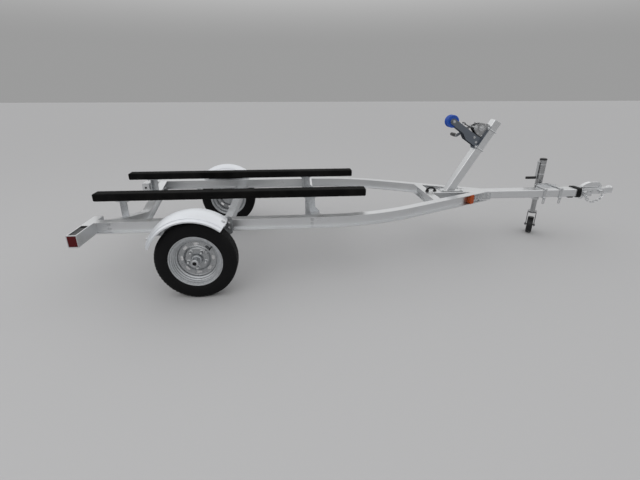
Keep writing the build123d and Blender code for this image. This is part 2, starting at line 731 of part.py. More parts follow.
def make_bunks(envelopes):
    section = RectangleRounded(BUNK_WIDTH, BUNK_HEIGHT, BUNK_EDGE)
    plane = Plane.YZ.offset(BUNK_REAR)
    bunk = prism(Pos(BUNK_Y, BUNK_BOTTOM + BUNK_HEIGHT / 2) * section, plane, BUNK_LENGTH)
    top = BUNK_BOTTOM + BUNK_HEIGHT
    # End cuts: station, direction into the bunk, length along the top, depth from the top
    ends = (
        (BUNK_REAR, 1, REAR_CUT_LENGTH, REAR_CUT_DEPTH),
        (BUNK_REAR + BUNK_LENGTH, -1, FRONT_CUT_LENGTH, FRONT_CUT_DEPTH),
    )
    for x, inward, length, depth in ends:
        upper = make_face(Polyline((x, top), (x + inward * length, top), (x, top - depth), close=True))
        corner = (x + inward * LOWER_CUT, BUNK_BOTTOM)
        lower = make_face(Polyline((x, BUNK_BOTTOM), corner, (x, BUNK_BOTTOM + LOWER_CUT), close=True))
        bunk -= extrude(Plane.XZ * upper, FAR, both=True)
        bunk -= extrude(Plane.XZ * lower, FAR, both=True)
    add_pair("bunk", bunk)
    add_pair("bunk_posts", Compound([rear_post(envelopes["rear"]), front_post(envelopes["middle"])]))


def post_top(x):
    # Flat plate under the bunk, centred on the post.
    half = POST_PLATE_LENGTH / 2
    width = POST_PLATE_WIDTH / 2
    low = BUNK_BOTTOM - BRACKET_SHEET
    return block(x - half, x + half, BUNK_Y - width, BUNK_Y + width, low, BUNK_BOTTOM)


def rear_post(envelope):
    # Angle that stands on the cross member's flange.
    outer = BUNK_Y + POST_DEPTH / 2
    inner = outer - POST_DEPTH
    x = REAR_CROSS_X - REAR_POST_WIDTH * 0.7
    low = cross_top(BUNK_Y) - POST_TAIL
    high = BUNK_BOTTOM - BRACKET_SHEET
    post = block(x, x + REAR_POST_WIDTH, outer - BRACKET_SHEET, outer, low, high)
    post += block(x, x + BRACKET_SHEET, inner, outer, low, high)
    post += post_top(x + REAR_POST_WIDTH / 2)
    return (post - envelope).solids().sort_by(Axis.Z)[-1]


def front_post(envelope):
    # Angle down the rear of the cross member, with a bracket plate that stands on its flange.
    outer = BUNK_Y + POST_DEPTH / 2
    inner = outer - POST_DEPTH
    edge = MIDDLE_CROSS_X - RAIL_WIDTH / 2
    x = edge - FRONT_POST_WIDTH
    foot = cross_top(outer)
    low = cross_top(BUNK_Y) - POST_TAIL
    high = BUNK_BOTTOM - BRACKET_SHEET
    outline = Polyline(
        (x, low),
        (x, high),
        (edge + FRONT_POST_PLATE, high),
        (edge + FRONT_POST_PLATE + 4, foot + 36),
        (edge + FRONT_POST_FOOT, foot + 8),
        (edge + FRONT_POST_FOOT, foot - 20),
        (edge, foot - 20),
        (edge, low),
        close=True,
    )
    post = extrude(Plane.XZ.offset(-outer) * make_face(outline), BRACKET_SHEET)
    post += block(edge - BRACKET_SHEET, edge, inner, outer, low, high)
    post += post_top((x + edge + FRONT_POST_PLATE) / 2)
    half = RAIL_HEIGHT / 2
    band = prism(cross_band(half, half + BRACKET_SHEET), Plane.YZ.offset(edge), FRONT_POST_FOOT)
    post += band & block(edge, edge + FRONT_POST_FOOT, inner, outer, 0, FAR)
    return (post - envelope).solids().sort_by(lambda s: s.volume)[-1]


def make_lights():
    # Box tube across each rear corner, closed at its inner end, with the lamp in its outer end.
    wall = LIGHT_TUBE_WALL
    edge = LIGHT_TUBE_OUTER - LAMP_MARGIN
    lamp_start = LIGHT_TUBE_OUTER - LAMP_LENGTH
    low = RAIL_BOTTOM + wall
    high = RAIL_TOP - wall
    rear = LIGHT_TUBE_REAR + wall
    front = RAIL_REAR - wall
    tube_ends = (LIGHT_TUBE_INNER, LIGHT_TUBE_OUTER)
    light_tube = block(LIGHT_TUBE_REAR, RAIL_REAR, *tube_ends, RAIL_BOTTOM, RAIL_TOP)
    light_tube -= block(rear, front, LIGHT_TUBE_INNER + wall, LIGHT_TUBE_OUTER + 1, low, high)
    slot_rear = rear + LIGHT_SLOT_EDGE
    slot_front = front - LIGHT_SLOT_EDGE
    light_tube -= block(slot_rear, slot_front, LIGHT_SLOT_START, edge, high - 1, RAIL_TOP + 1)
    window_low = RAIL_BOTTOM + LAMP_MARGIN
    window_high = RAIL_TOP - LAMP_MARGIN
    start = lamp_start + LAMP_MARGIN
    light_tube -= block(LIGHT_TUBE_REAR - 1, rear + 1, start, edge, window_low, window_high)
    middle = ((LIGHT_TUBE_REAR + RAIL_REAR) / 2, (RAIL_TOP + RAIL_BOTTOM) / 2)
    hole_start = (middle[0], LIGHT_TUBE_INNER - 1, middle[1])
    light_tube -= rod(hole_start, (middle[0], LIGHT_TUBE_INNER + wall + 1, middle[1]), WIRE_HOLE / 2)
    add_pair("light_tube", light_tube)
    side = LIGHT_TUBE_OUTER + LAMP_SIDE_PROUD
    lamp = block(rear + GAP, front - GAP, lamp_start, side, low + GAP, high - GAP)
    lens_rear = LIGHT_TUBE_REAR - LAMP_PROUD
    lamp += block(lens_rear, rear + 2, start + GAP, edge - GAP, window_low + GAP, window_high - GAP)
    add_pair("tail_lamp", lamp)


def make_markers():
    # Amber marker on the outer face of the rail's web, square to the bent front run.
    turn = radians(BEND_ANGLE)
    corner = joint_corner()
    back = JOINT_ON_RAIL + MARKER_BEHIND + MARKER_LENGTH / 2
    normal = (sin(turn), cos(turn), 0)
    face = (corner[0] - back * cos(turn), corner[1] + back * sin(turn), MARKER_Z)
    plane = Plane(origin=face, x_dir=(cos(turn), -sin(turn), 0), z_dir=normal)
    base = RectangleRounded(MARKER_LENGTH, MARKER_HEIGHT, MARKER_CORNER)
    rim = 2 * MARKER_RIM
    lens = RectangleRounded(MARKER_LENGTH - rim, MARKER_HEIGHT - rim, MARKER_CORNER - MARKER_RIM)
    dome = extrude(lens, MARKER_PROUD)
    dome = chamfer(dome.faces().sort_by(Axis.Z)[-1].edges(), MARKER_RIM)
    add_pair("side_marker", plane * (extrude(base, MARKER_BASE) + dome))


# Winch stand: (s, d) is the distance up the leaning post and the distance behind its centre line.
STAND_UP = (sin(radians(STAND_LEAN)), 0, cos(radians(STAND_LEAN)))
STAND_BACK = (-cos(radians(STAND_LEAN)), 0, sin(radians(STAND_LEAN)))
STAND_ACROSS = Plane(origin=(STAND_X, 0, STAND_Z), x_dir=STAND_BACK, z_dir=STAND_UP)
STAND_SIDE = Plane(origin=(STAND_X, 0, STAND_Z), x_dir=STAND_UP, z_dir=(0, -1, 0))
POST_FACE = STAND_DEPTH / 2
WINCH_FACE = POST_FACE + CHEEK
KEEPER = (ROLLER_S + KEEPER_UP, ROLLER_D - KEEPER_BEHIND)
MESH_DISTANCE = GEAR_MODULE * (GEAR_TEETH + PINION_TEETH) / 2 + MESH_PLAY
CRANK_S = WINCH_S + MESH_DISTANCE * cos(radians(PINION_TURN))
CRANK_D = WINCH_D + MESH_DISTANCE * sin(radians(PINION_TURN))
WINCH_HALF = CHEEK_INNER


def stand_point(s, d, y):
    x = STAND_X + s * STAND_UP[0] + d * STAND_BACK[0]
    z = STAND_Z + s * STAND_UP[2] + d * STAND_BACK[2]
    return (x, y, z)


def across(s, d, y0, y1, radius):
    return rod(stand_point(s, d, y0), stand_point(s, d, y1), radius)


def upright(face, y0, y1):
    # A face drawn in (s, d), as thick as the two distances across.
    return prism(face, STAND_SIDE.offset(-y1), y1 - y0)


def make_winch_stand():
    floor = TONGUE_TOP + STAND_PLATE
    half = TONGUE_HALF - STAND_PLATE_MARGIN
    plate = block(STAND_X - STAND_PLATE_BEHIND, STAND_X + STAND_PLATE_AHEAD, -half, half, TONGUE_TOP, floor)
    add("winch_post_base", plate)
    outer = RectangleRounded(STAND_DEPTH, STAND_WIDTH, STAND_CORNER)
    wall = 2 * STAND_WALL
    inner = RectangleRounded(STAND_DEPTH - wall, STAND_WIDTH - wall, STAND_CORNER - STAND_WALL)
    tail = STAND_WIDTH  # spare length below, cut off level at the base plate
    post = prism(outer - inner, STAND_ACROSS.offset(-tail), STAND_LENGTH + tail)
    post &= block(-FAR, FAR, -FAR, FAR, floor, FAR)
    add("winch_post", post)
    add("bow_stop_bracket", bow_stop_bracket())
    cheek_half = CHEEK_INNER + CHEEK
    roller_bolt = across(ROLLER_S, ROLLER_D, -cheek_half - 8, cheek_half + 8, ROLLER_PIN / 2)
    for side in (-1, 1):
        ends = sorted((side * (cheek_half + 0.1), side * (cheek_half + 10)))
        roller_bolt += across(ROLLER_S, ROLLER_D, ends[0], ends[1], ROLLER_HEAD)
    add("bow_roller_bolt", roller_bolt)
    bore = ROLLER_PIN / 2 + GAP
    half = [(ROLLER_HALF, bore), (ROLLER_HALF, ROLLER_RADIUS - 3)]
    half += [(ROLLER_HALF - 6, ROLLER_RADIUS), (10, ROLLER_WAIST)]
    waist = make_face(Polyline(*half, *[(-y, r) for y, r in half[::-1]], close=True))
    x, _, z = stand_point(ROLLER_S, ROLLER_D, 0)
    section = Plane.YZ.offset(x) * Pos(0, z) * waist
    add("bow_roller", revolve(section, Axis((x, 0, z), (0, 1, 0)), 360))
    bolts = []
    leg_y = STAND_WIDTH / 2 + U_BOLT / 2 + GAP
    front_d = -POST_FACE - U_BOLT / 2 - GAP
    back_d = WINCH_FACE + U_BOLT_TAIL
    for s in (U_BOLT_LOW, U_BOLT_HIGH):
        corners = ((back_d, leg_y), (front_d, leg_y), (front_d, -leg_y), (back_d, -leg_y))
        bolts.append(hose([stand_point(s, d, y) for d, y in corners], U_BOLT, U_BOLT / 2))
    add("winch_post_u_bolts", Compound(bolts))


def bow_stop_bracket():
    # Two cheeks that reach back to the roller, on a back plate that the U-bolts hold to the post.
    cheek_half = CHEEK_INNER + CHEEK
    nose = ROLLER_PIN + 10
    low = U_BOLT_LOW - 16
    high = U_BOLT_HIGH + 18
    outline = make_face(
        Polyline(
            (low, POST_FACE),
            (low + 15, POST_FACE + 18),
            (low + 20, 142),
            (ROLLER_S - 31, 190),
            (ROLLER_S - nose, ROLLER_D),
            (ROLLER_S + nose, ROLLER_D),
            (ROLLER_S + 7, WINCH_FACE + 24),
            (ROLLER_S + 12, POST_FACE),
            close=True,
        )
    )
    outline += Pos(ROLLER_S, ROLLER_D) * Circle(nose)
    bracket = upright(outline, -cheek_half, cheek_half)
    room = Pos(ROLLER_S, WINCH_FACE + ROLLER_D) * Rectangle(2 * ROLLER_D, 2 * ROLLER_D)
    bracket -= upright(room, -CHEEK_INNER, CHEEK_INNER)
    leg_y = STAND_WIDTH / 2 + U_BOLT / 2 + GAP
    back = Pos((low + high) / 2, POST_FACE + CHEEK / 2) * Rectangle(high - low, CHEEK)
    bracket += upright(back, -leg_y - 12, leg_y + 12)
    for s in (U_BOLT_LOW, U_BOLT_HIGH):
        for y in (-leg_y, leg_y):
            bracket -= rod(stand_point(s, 0, y), stand_point(s, WINCH_FACE + CHEEK, y), U_BOLT / 2 + GAP)
    bracket -= across(ROLLER_S, ROLLER_D, -FAR, FAR, ROLLER_PIN / 2 + BORE_FIT)
    return bracket + across(*KEEPER, -cheek_half, cheek_half, KEEPER_RADIUS)


def gear_face(s, d, teeth, root_share, tip_share, turn):
    # Straight-sided teeth: each takes the given shares of its pitch at root and tip.
    pitch_radius = GEAR_MODULE * teeth / 2
    root = pitch_radius - 1.25 * GEAR_MODULE
    tip = pitch_radius + 0.9 * GEAR_MODULE
    corners = ((root, root_share), (tip, tip_share))
    points = []
    for i in range(teeth):
        middle = radians(turn) + 2 * pi * i / teeth
        half = pi / teeth
        for side, order in ((-1, corners), (1, corners[::-1])):
            for radius, share in order:
                angle = middle + side * half * share
                points.append((s + radius * cos(angle), d + radius * sin(angle)))
    return make_face(Polyline(*points, close=True))


def touch_point(point, centre, radius, side):
    # Where the line from a point touches a circle, on the given side of its centre.
    dx = point[0] - centre[0]
    dy = point[1] - centre[1]
    angle = atan2(dy, dx) + side * acos(radius / hypot(dx, dy))
    return (centre[0] + radius * cos(angle), centre[1] + radius * sin(angle))


def make_winch():
    # Folded frame on the back plate, with the ratchet's pawl on its left cheek.
    outline = make_face(
        Polyline(
            (WINCH_LOW, WINCH_FACE),
            (WINCH_LOW, WINCH_D + 8),
            (CRANK_S - 20, CRANK_D + 4),
            (CRANK_S - 8, CRANK_D + 16),
            (CRANK_S + 10, CRANK_D + 16),
            (WINCH_S + 26, WINCH_D + 28),
            (WINCH_HIGH, WINCH_FACE + 25),
            (WINCH_HIGH, WINCH_FACE),
            close=True,
        )
    )
    frame = upright(outline, -WINCH_HALF, WINCH_HALF)
    inner = WINCH_HALF - WINCH_SHEET
    room = Pos(WINCH_S, WINCH_FACE + WINCH_SHEET + ROLLER_D) * Rectangle(2 * ROLLER_D, 2 * ROLLER_D)
    frame -= upright(room, -inner, inner)
    frame -= across(WINCH_S, WINCH_D, -FAR, FAR, SHAFT + GAP)
    frame -= across(CRANK_S, CRANK_D, -FAR, FAR, CRANK_SHAFT + GAP)
    pawl_s = CRANK_S + RATCHET_RADIUS + PAWL_RADIUS + 9
    tip = Pos(CRANK_S + RATCHET_RADIUS + 3, CRANK_D + 5) * Circle(2)
    pawl = make_hull((Pos(pawl_s, CRANK_D - 4) * Circle(PAWL_RADIUS) + tip).edges())
    frame += upright(pawl, WINCH_HALF, WINCH_HALF + RUN + GEAR_WIDTH)
    add("winch_frame", frame)
    flange_y = STRAP_HALF + GAP
    gear_y = flange_y + FLANGE_SHEET
    drum = across(WINCH_S, WINCH_D, -WINCH_HALF - 5, WINCH_HALF + 5, SHAFT)
    drum += across(WINCH_S, WINCH_D, -gear_y, -flange_y, FLANGE_RADIUS)
    drum += across(WINCH_S, WINCH_D, flange_y, gear_y, FLANGE_RADIUS)
    gap_turn = PINION_TURN + 180 / GEAR_TEETH
    wheel = gear_face(WINCH_S, WINCH_D, GEAR_TEETH, 0.6, 0.28, gap_turn)
    drum += upright(wheel, gear_y, gear_y + GEAR_WIDTH)
    add("winch_drum", drum)
    hook_bar = (HOOK_BAR_S, HOOK_BAR_D)
    roll = across(WINCH_S, WINCH_D, -STRAP_HALF, STRAP_HALF, STRAP_ROLL)
    roll -= across(WINCH_S, WINCH_D, -FAR, FAR, SHAFT + GAP)
    start = touch_point(hook_bar, (WINCH_S, WINCH_D), STRAP_ROLL - STRAP_SHEET / 2, 1)
    run = hypot(start[0] - hook_bar[0], start[1] - hook_bar[1])
    along = ((start[0] - hook_bar[0]) / run, (start[1] - hook_bar[1]) / run)
    loop = HOOK_BAR + GAP + STRAP_SHEET
    near = (hook_bar[0] + along[0] * (loop - 1), hook_bar[1] + along[1] * (loop - 1))
    fold = (hook_bar[0] + along[0] * STRAP_FOLD, hook_bar[1] + along[1] * STRAP_FOLD)
    side = bar([near, start], STRAP_SHEET) + bar([near, fold], 2 * STRAP_SHEET)
    strap = upright(side, -STRAP_HALF, STRAP_HALF)
    strap += across(*hook_bar, -STRAP_HALF, STRAP_HALF, loop)
    strap -= across(*hook_bar, -FAR, FAR, HOOK_BAR + GAP)
    add("winch_strap", roll + strap)
    add("winch_hook", winch_hook(hook_bar))
    make_winch_crank(gear_y)


def winch_hook(hook_bar):
    # Open plate on the strap's bar, with a jaw over the keeper bar between the cheeks.
    half = STRAP_HALF + GAP + HOOK_ARM
    loop = HOOK_BAR + 2 * GAP + STRAP_SHEET
    reach = hypot(KEEPER[0] - hook_bar[0], KEEPER[1] - hook_bar[1])
    heading = atan2(KEEPER[1] - hook_bar[1], KEEPER[0] - hook_bar[0])
    start = stand_point(*hook_bar, 0)
    end = stand_point(*KEEPER, 0)
    along = (end[0] - start[0], 0, end[2] - start[2])
    plane = Plane(origin=start, x_dir=along, z_dir=(along[2], 0, -along[0]))
    neck = reach - KEEPER_RADIUS - GAP - 1
    side = [(0, half), (loop + HOOK_ARM, half), (loop + 3 * HOOK_ARM, 2 * HOOK_ARM), (neck, HOOK_ARM)]
    plate = make_face(Polyline(*side, *[(x, -y) for x, y in side[::-1]], close=True))
    plate -= Rectangle(2 * loop, 2 * (STRAP_HALF + GAP))
    hook = prism(plate, plane, HOOK_SHEET / 2, both=True)
    hook += across(*hook_bar, -half, half, HOOK_BAR)
    opening = heading - pi / 2
    mouth = Pos(KEEPER[0] + HOOK_JAW * cos(opening), KEEPER[1] + HOOK_JAW * sin(opening))
    jaw = Pos(*KEEPER) * (Circle(HOOK_JAW) - Circle(KEEPER_RADIUS + GAP))
    jaw -= mouth * Rectangle(2 * KEEPER_RADIUS, 2 * KEEPER_RADIUS, rotation=degrees(opening))
    return hook + upright(jaw, -5, 5)


def make_winch_crank(gear_y):
    # Shaft with its pinion and ratchet wheel, the arm, and the grip on its peg.
    crank = across(CRANK_S, CRANK_D, -WINCH_HALF - 3, CRANK_ARM_Y + CRANK_ARM, CRANK_SHAFT)
    pinion = gear_face(CRANK_S, CRANK_D, PINION_TEETH, 0.62, 0.24, PINION_TURN + 180)
    crank += upright(pinion, gear_y, gear_y + GEAR_WIDTH)
    points = []
    for i in range(RATCHET_TEETH):
        angle = 2 * pi * i / RATCHET_TEETH
        for radius in (RATCHET_RADIUS, RATCHET_ROOT):
            points.append((CRANK_S + radius * cos(angle), CRANK_D + radius * sin(angle)))
    ratchet_y = WINCH_HALF + RUN
    crank += upright(make_face(Polyline(*points, close=True)), ratchet_y, ratchet_y + GEAR_WIDTH)
    a = stand_point(CRANK_S, CRANK_D, 0)
    b = stand_point(CRANK_TIP_S, CRANK_TIP_D, 0)
    reach = hypot(b[0] - a[0], b[2] - a[2])
    plane = Plane(origin=(a[0], CRANK_ARM_Y, a[2]), x_dir=(b[0] - a[0], 0, b[2] - a[2]), z_dir=(0, 1, 0))
    crank += prism(Pos(reach / 2, 0) * SlotOverall(reach + 24, 22), plane, CRANK_ARM)
    peg_end = CRANK_ARM_Y + CRANK_ARM + CRANK_GRIP_LENGTH * 0.3
    crank += rod((b[0], CRANK_ARM_Y, b[2]), (b[0], peg_end, b[2]), CRANK_PEG)
    add("winch_crank", crank)
    y = CRANK_ARM_Y + CRANK_ARM + RUN
    end = y + CRANK_GRIP_LENGTH
    section = Polyline(
        (y, CRANK_PEG + GAP),
        (y, 12),
        (y + 40, 15),
        (end - 4, 13),
        (end, 8),
        (end, 0),
        (peg_end + GAP, 0),
        (peg_end + GAP, CRANK_PEG + GAP),
        close=True,
    )
    grip = Plane.YZ.offset(b[0]) * Pos(0, b[2]) * make_face(section)
    add("winch_crank_grip", revolve(grip, Axis((b[0], 0, b[2]), (0, 1, 0)), 360))


def make_jack():
    make_jack_mount()
    axis = (JACK_X, JACK_Y)
    body = tube((*axis, JACK_TUBE_BOTTOM), (*axis, JACK_TOP), JACK_TUBE_RADIUS, JACK_TUBE_WALL)
    body += rod((*axis, JACK_TOP - 5), (*axis, JACK_TOP + 4), JACK_TUBE_RADIUS - 2)
    body += rod((*axis, JACK_TUBE_BOTTOM), (*axis, JACK_TUBE_BOTTOM + JACK_COLLAR), JACK_TUBE_RADIUS)
    flange_y = SWIVEL_Y + RUN
    flange = Pos(JACK_X, JACK_PIVOT_Z) * RectangleRounded(SWIVEL_LENGTH - 20, SWIVEL_HEIGHT - 12, 20)
    flange = extrude(Plane.XZ.offset(-flange_y - SWIVEL_PLATE) * flange, SWIVEL_PLATE)
    saddle_z = (JACK_PIVOT_Z - ARM_DROP, JACK_PIVOT_Z + ARM_DROP)
    saddle = block(JACK_X - SADDLE_HALF, JACK_X + SADDLE_HALF, flange_y + 1, JACK_Y, *saddle_z)
    pin_end = SWIVEL_Y + SWIVEL_PIN_LENGTH + RUN
    pin_room = rod((JACK_X, 0, JACK_PIVOT_Z), (JACK_X, pin_end, JACK_PIVOT_Z), SWIVEL_PIN + BORE_FIT)
    body += flange + saddle - pin_room
    crank_z = JACK_TOP - JACK_CRANK_DROP
    bearing = JACK_X - JACK_CRANK_OFFSET + 5 + GAP
    body += rod((JACK_X, JACK_Y, crank_z), (bearing, JACK_Y, crank_z), 12)
    collar_top = JACK_TUBE_BOTTOM + JACK_COLLAR
    body -= rod((*axis, collar_top), (*axis, JACK_TOP - 5), JACK_TUBE_RADIUS - JACK_TUBE_WALL)
    body -= rod((*axis, 0), (*axis, collar_top), LEG_RADIUS + RUN)
    add("jack_tube", body)
    crank_x = JACK_X - JACK_CRANK_OFFSET
    tip_z = crank_z - JACK_CRANK_THROW
    arm = SlotOverall(JACK_CRANK_THROW + JACK_CRANK_BAR, JACK_CRANK_BAR, rotation=90)
    crank = extrude(Plane.YZ.offset(crank_x) * Pos(JACK_Y, (crank_z + tip_z) / 2) * arm, 5)
    crank += rod((crank_x + 5, JACK_Y, crank_z), (crank_x - 5, JACK_Y, crank_z), 9)
    peg = JACK_GRIP_LENGTH * 0.4
    crank += rod((crank_x, JACK_Y, tip_z), (crank_x - peg, JACK_Y, tip_z), CRANK_PEG)
    add("jack_crank", crank)
    grip_x = crank_x - RUN
    grip = rod((grip_x, JACK_Y, tip_z), (grip_x - JACK_GRIP_LENGTH, JACK_Y, tip_z), JACK_GRIP_RADIUS)
    grip -= rod((crank_x, JACK_Y, tip_z), (crank_x - peg - GAP, JACK_Y, tip_z), CRANK_PEG + GAP)
    add("jack_crank_grip", grip)
    leg = tube((*axis, LEG_BOTTOM), (*axis, LEG_TOP), LEG_RADIUS, LEG_WALL)
    leg += rod((*axis, LEG_BOTTOM), (*axis, LEG_BOTTOM + 30), LEG_RADIUS)
    leg += rod((*axis, LEG_BOTTOM), (*axis, LEG_BOTTOM + 6), LEG_RADIUS + LEG_FLANGE)
    leg -= rod((*axis, LEG_BOTTOM - 1), (*axis, LEG_BOTTOM + 26), CASTER_STEM / 2 + BORE_FIT)
    add("jack_leg", leg)
    make_caster()


def make_jack_mount():
    # Plate on the tongue's left side, a box arm out to the swivel plate, the swivel pin and the lock pin.
    side = TONGUE_HALF
    bolt = CLAMP_BOLT / 2
    bolt_heights = (TONGUE_TOP + GAP + bolt, TONGUE_BOTTOM - GAP - bolt)
    bolt_stations = (JACK_X - CLAMP_REAR, JACK_X + CLAMP_FRONT)
    rear = bolt_stations[0] - JACK_PLATE_MARGIN
    front = bolt_stations[1] + JACK_PLATE_MARGIN
    low = bolt_heights[1] - JACK_PLATE_MARGIN
    high = bolt_heights[0] + JACK_PLATE_MARGIN
    plate_y = side + JACK_PLATE
    arm_end = SWIVEL_Y - SWIVEL_PLATE
    mount = block(rear, front, side, plate_y, low, high)
    arm_low = JACK_PIVOT_Z - ARM_DROP
    arm_high = JACK_PIVOT_Z + ARM_RISE
    mount += block(JACK_X - ARM_HALF, JACK_X + ARM_HALF, plate_y, arm_end, arm_low, arm_high)
    mount -= block(-FAR, FAR, plate_y, arm_end, arm_low + BRACKET_SHEET, arm_high - BRACKET_SHEET)
    swivel = Pos(JACK_X + 5, JACK_PIVOT_Z + 2) * RectangleRounded(SWIVEL_LENGTH, SWIVEL_HEIGHT, 20)
    mount += extrude(Plane.XZ.offset(-SWIVEL_Y) * swivel, SWIVEL_PLATE)
    pin_end = (JACK_X, SWIVEL_Y + SWIVEL_PIN_LENGTH, JACK_PIVOT_Z)
    mount += rod((JACK_X, arm_end, JACK_PIVOT_Z), pin_end, SWIVEL_PIN)
    lock = (JACK_X + LOCK_AHEAD, JACK_PIVOT_Z + LOCK_UP)
    mount += rod((lock[0], arm_end - 22, lock[1]), (lock[0], arm_end, lock[1]), 5)
    mount += rod((lock[0], arm_end - 22, lock[1]), (lock[0], arm_end - 10, lock[1]), LOCK_KNOB)
    clamps = []
    for x in bolt_stations:
        half = CLAMP_WIDTH / 2
        clamp = block(x - half, x + half, -side - BRACKET_SHEET, -side, low + 4, high - 4)
        for z in bolt_heights:
            outer = -side - BRACKET_SHEET - CLAMP_NUT_HEIGHT
            clamp += rod((x, outer, z), (x, plate_y + CLAMP_NUT_HEIGHT + 4, z), bolt)
            clamp += rod((x, outer, z), (x, -side, z), CLAMP_NUT)
            clamp += rod((x, plate_y + GAP, z), (x, plate_y + CLAMP_NUT_HEIGHT, z), CLAMP_NUT)
            mount -= rod((x, side - 1, z), (x, plate_y + 1, z), bolt + BORE_FIT)
        clamps.append(clamp.solid())
    add("jack_mount", mount)
    add("jack_clamps", Compound(clamps))


def make_caster():
    # Fork and wheel are drawn trailing to the left and turned to their rest heading.
    heading = Pos(JACK_X, JACK_Y) * Rot(0, 0, -CASTER_TURN)
    fork_half = CASTER_WIDTH / 2 + CASTER_SIDE
    top = LEG_BOTTOM - RUN
    crown = make_hull((Circle(fork_half) + Pos(0, CASTER_TRAIL) * Rectangle(2 * fork_half, 40)).edges())
    fork = extrude(Pos(0, 0, top - 8) * crown, 8)
    ears = Plane.YZ * make_hull(
        (Pos(CASTER_TRAIL, CASTER_RADIUS) * Circle(17) + Pos(10, top - 4) * Rectangle(60, 8)).edges()
    )
    head = fork_half + FORK_SHEET
    for x in (-head, fork_half):
        fork += extrude(Pos(x, 0, 0) * ears, FORK_SHEET)
    fork += extrude(Pos(0, 10, top - 8) * Rectangle(2 * head, 60), 8)
    fork += rod((0, 0, top - 4), (0, 0, LEG_BOTTOM + 24), CASTER_STEM / 2)
    axle = (CASTER_TRAIL, CASTER_RADIUS)
    fork += rod((-head - 8, *axle), (head + 8, *axle), CASTER_PIN / 2)
    for x in (-head - 8, head):
        fork += rod((x, *axle), (x + 8, *axle), 10.5)
    add("caster_fork", heading * fork)
    half = CASTER_WIDTH / 2
    bore = CASTER_PIN / 2 + BORE_FIT
    tread = half - 8
    side = [(half, bore), (half, 22), (tread, 26), (tread, 50), (half, 56)]
    side += [(half, CASTER_RADIUS - 8), (tread, CASTER_RADIUS)]
    section = make_face(Polyline(*side, *[(-x, r) for x, r in side[::-1]], close=True))
    placed = Plane.XZ.offset(-CASTER_TRAIL) * Pos(0, CASTER_RADIUS) * section
    add("caster_wheel", heading * revolve(placed, Axis((0, *axle), (1, 0, 0)), 360))


# Coupler: a channel over the tongue's end that narrows to the ball socket.
def coupler_plan(inset):
    half = COUPLER_HALF - inset
    ball = BALL_RADIUS + BALL_ROOM + COUPLER_SHEET - inset
    side = [(COUPLER_REAR, half), (COUPLER_TAPER, half), (COUPLER_NECK, ball), (BALL_X, ball)]
    outline = make_face(Polyline(*side, *[(x, -y) for x, y in side[::-1]], close=True))
    return outline + Pos(BALL_X, 0) * Circle(ball)


def make_coupler():
    bottom = COUPLER_TOP - COUPLER_DEPTH
    ball = BALL_RADIUS + BALL_ROOM
    shell = extrude(Pos(0, 0, bottom) * coupler_plan(0), COUPLER_DEPTH)
    rim = extrude(Pos(0, 0, bottom) * coupler_plan(-COUPLER_RIM), COUPLER_RIM_SHEET)
    shell += rim & block(COUPLER_NECK - 40, FAR, -FAR, FAR, 0, FAR)
    open_end = Rectangle(20, 2 * (COUPLER_HALF - COUPLER_SHEET))
    inner = coupler_plan(COUPLER_SHEET) + Pos(COUPLER_REAR, 0) * open_end
    shell -= extrude(Pos(0, 0, bottom - 1) * inner, COUPLER_DEPTH + 1 - COUPLER_SHEET)
    centre = (BALL_X, 0, COUPLER_TOP - COUPLER_SHEET - BALL_DROP)
    dome = ball + COUPLER_SHEET
    shell += Pos(*centre) * (Sphere(dome) & Pos(0, 0, dome / 2) * Box(4 * dome, 4 * dome, dome))
    shell -= Pos(*centre) * Sphere(ball)
    shell -= rod((BALL_X, 0, 0), centre, ball)
    pin = (COUPLER_TAPER - 5, COUPLER_TOP + 15)
    ear_side = [(pin[0] - 14, COUPLER_TOP - 1), (pin[0] - 7, pin[1] + 8)]
    ear_side += [(pin[0] + 7, pin[1] + 8), (pin[0] + 14, COUPLER_TOP - 1)]
    ear = make_face(Polyline(*ear_side, close=True))
    ears = extrude(Plane.XZ.offset(-LEVER_HALF - GAP - 4) * ear, 4)
    ears -= rod((pin[0], 0, pin[1]), (pin[0], FAR, pin[1]), LEVER_PIN + BORE_FIT)
    bolts = chain_bolt(CHAIN_BOLT_X, CHAIN_BOLT_Z) + chain_bolt(*hook_centres()[1])
    for piece in (ears, bolts):
        shell += piece + mirror(piece, about=Plane.XZ)
    add("coupler", shell)
    # Latch lever: a folded channel that lies back along the top, on its pin between the ears.
    rear = pin[0] - 158
    low = COUPLER_TOP + GAP
    high = COUPLER_TOP + LEVER_RISE
    side = [(rear, low + 2), (rear + 6, low + 17), (rear + 36, high - 9), (rear + 68, high)]
    side += [(pin[0] - 18, high), (pin[0] + 4, high - 15), (pin[0] + 12, low)]
    lever = extrude(Plane.XZ * make_face(Polyline(*side, close=True)), LEVER_HALF, both=True)
    t = LEVER_SHEET
    room = [(rear + t, low - 9), (rear + t + 3, low + 15), (rear + 37, high - 9 - t), (rear + 68, high - t)]
    room += [(pin[0] - 19, high - t), (pin[0] + 1, high - 15 - t), (pin[0] + 12 - t, low - 9)]
    lever -= extrude(Plane.XZ * make_face(Polyline(*room, close=True)), LEVER_HALF - t, both=True)
    head = LEVER_HALF + GAP + 4
    lever += rod((pin[0], -head, pin[1]), (pin[0], head, pin[1]), LEVER_PIN)
    add("coupler_latch", lever)


def chain_bolt(x, z):
    # Spacer, shank and head that carry a link or a hook beside the coupler.
    spacer_end = COUPLER_HALF + CHAIN_STANDOFF
    head = spacer_end + CHAIN_WIRE + 2 * GAP
    bolt = rod((x, COUPLER_HALF - 1, z), (x, spacer_end, z), CHAIN_SPACER)
    bolt += rod((x, spacer_end, z), (x, head + 1, z), CHAIN_BOLT)
    return bolt + rod((x, head, z), (x, head + CHAIN_HEAD_LENGTH, z), CHAIN_HEAD)


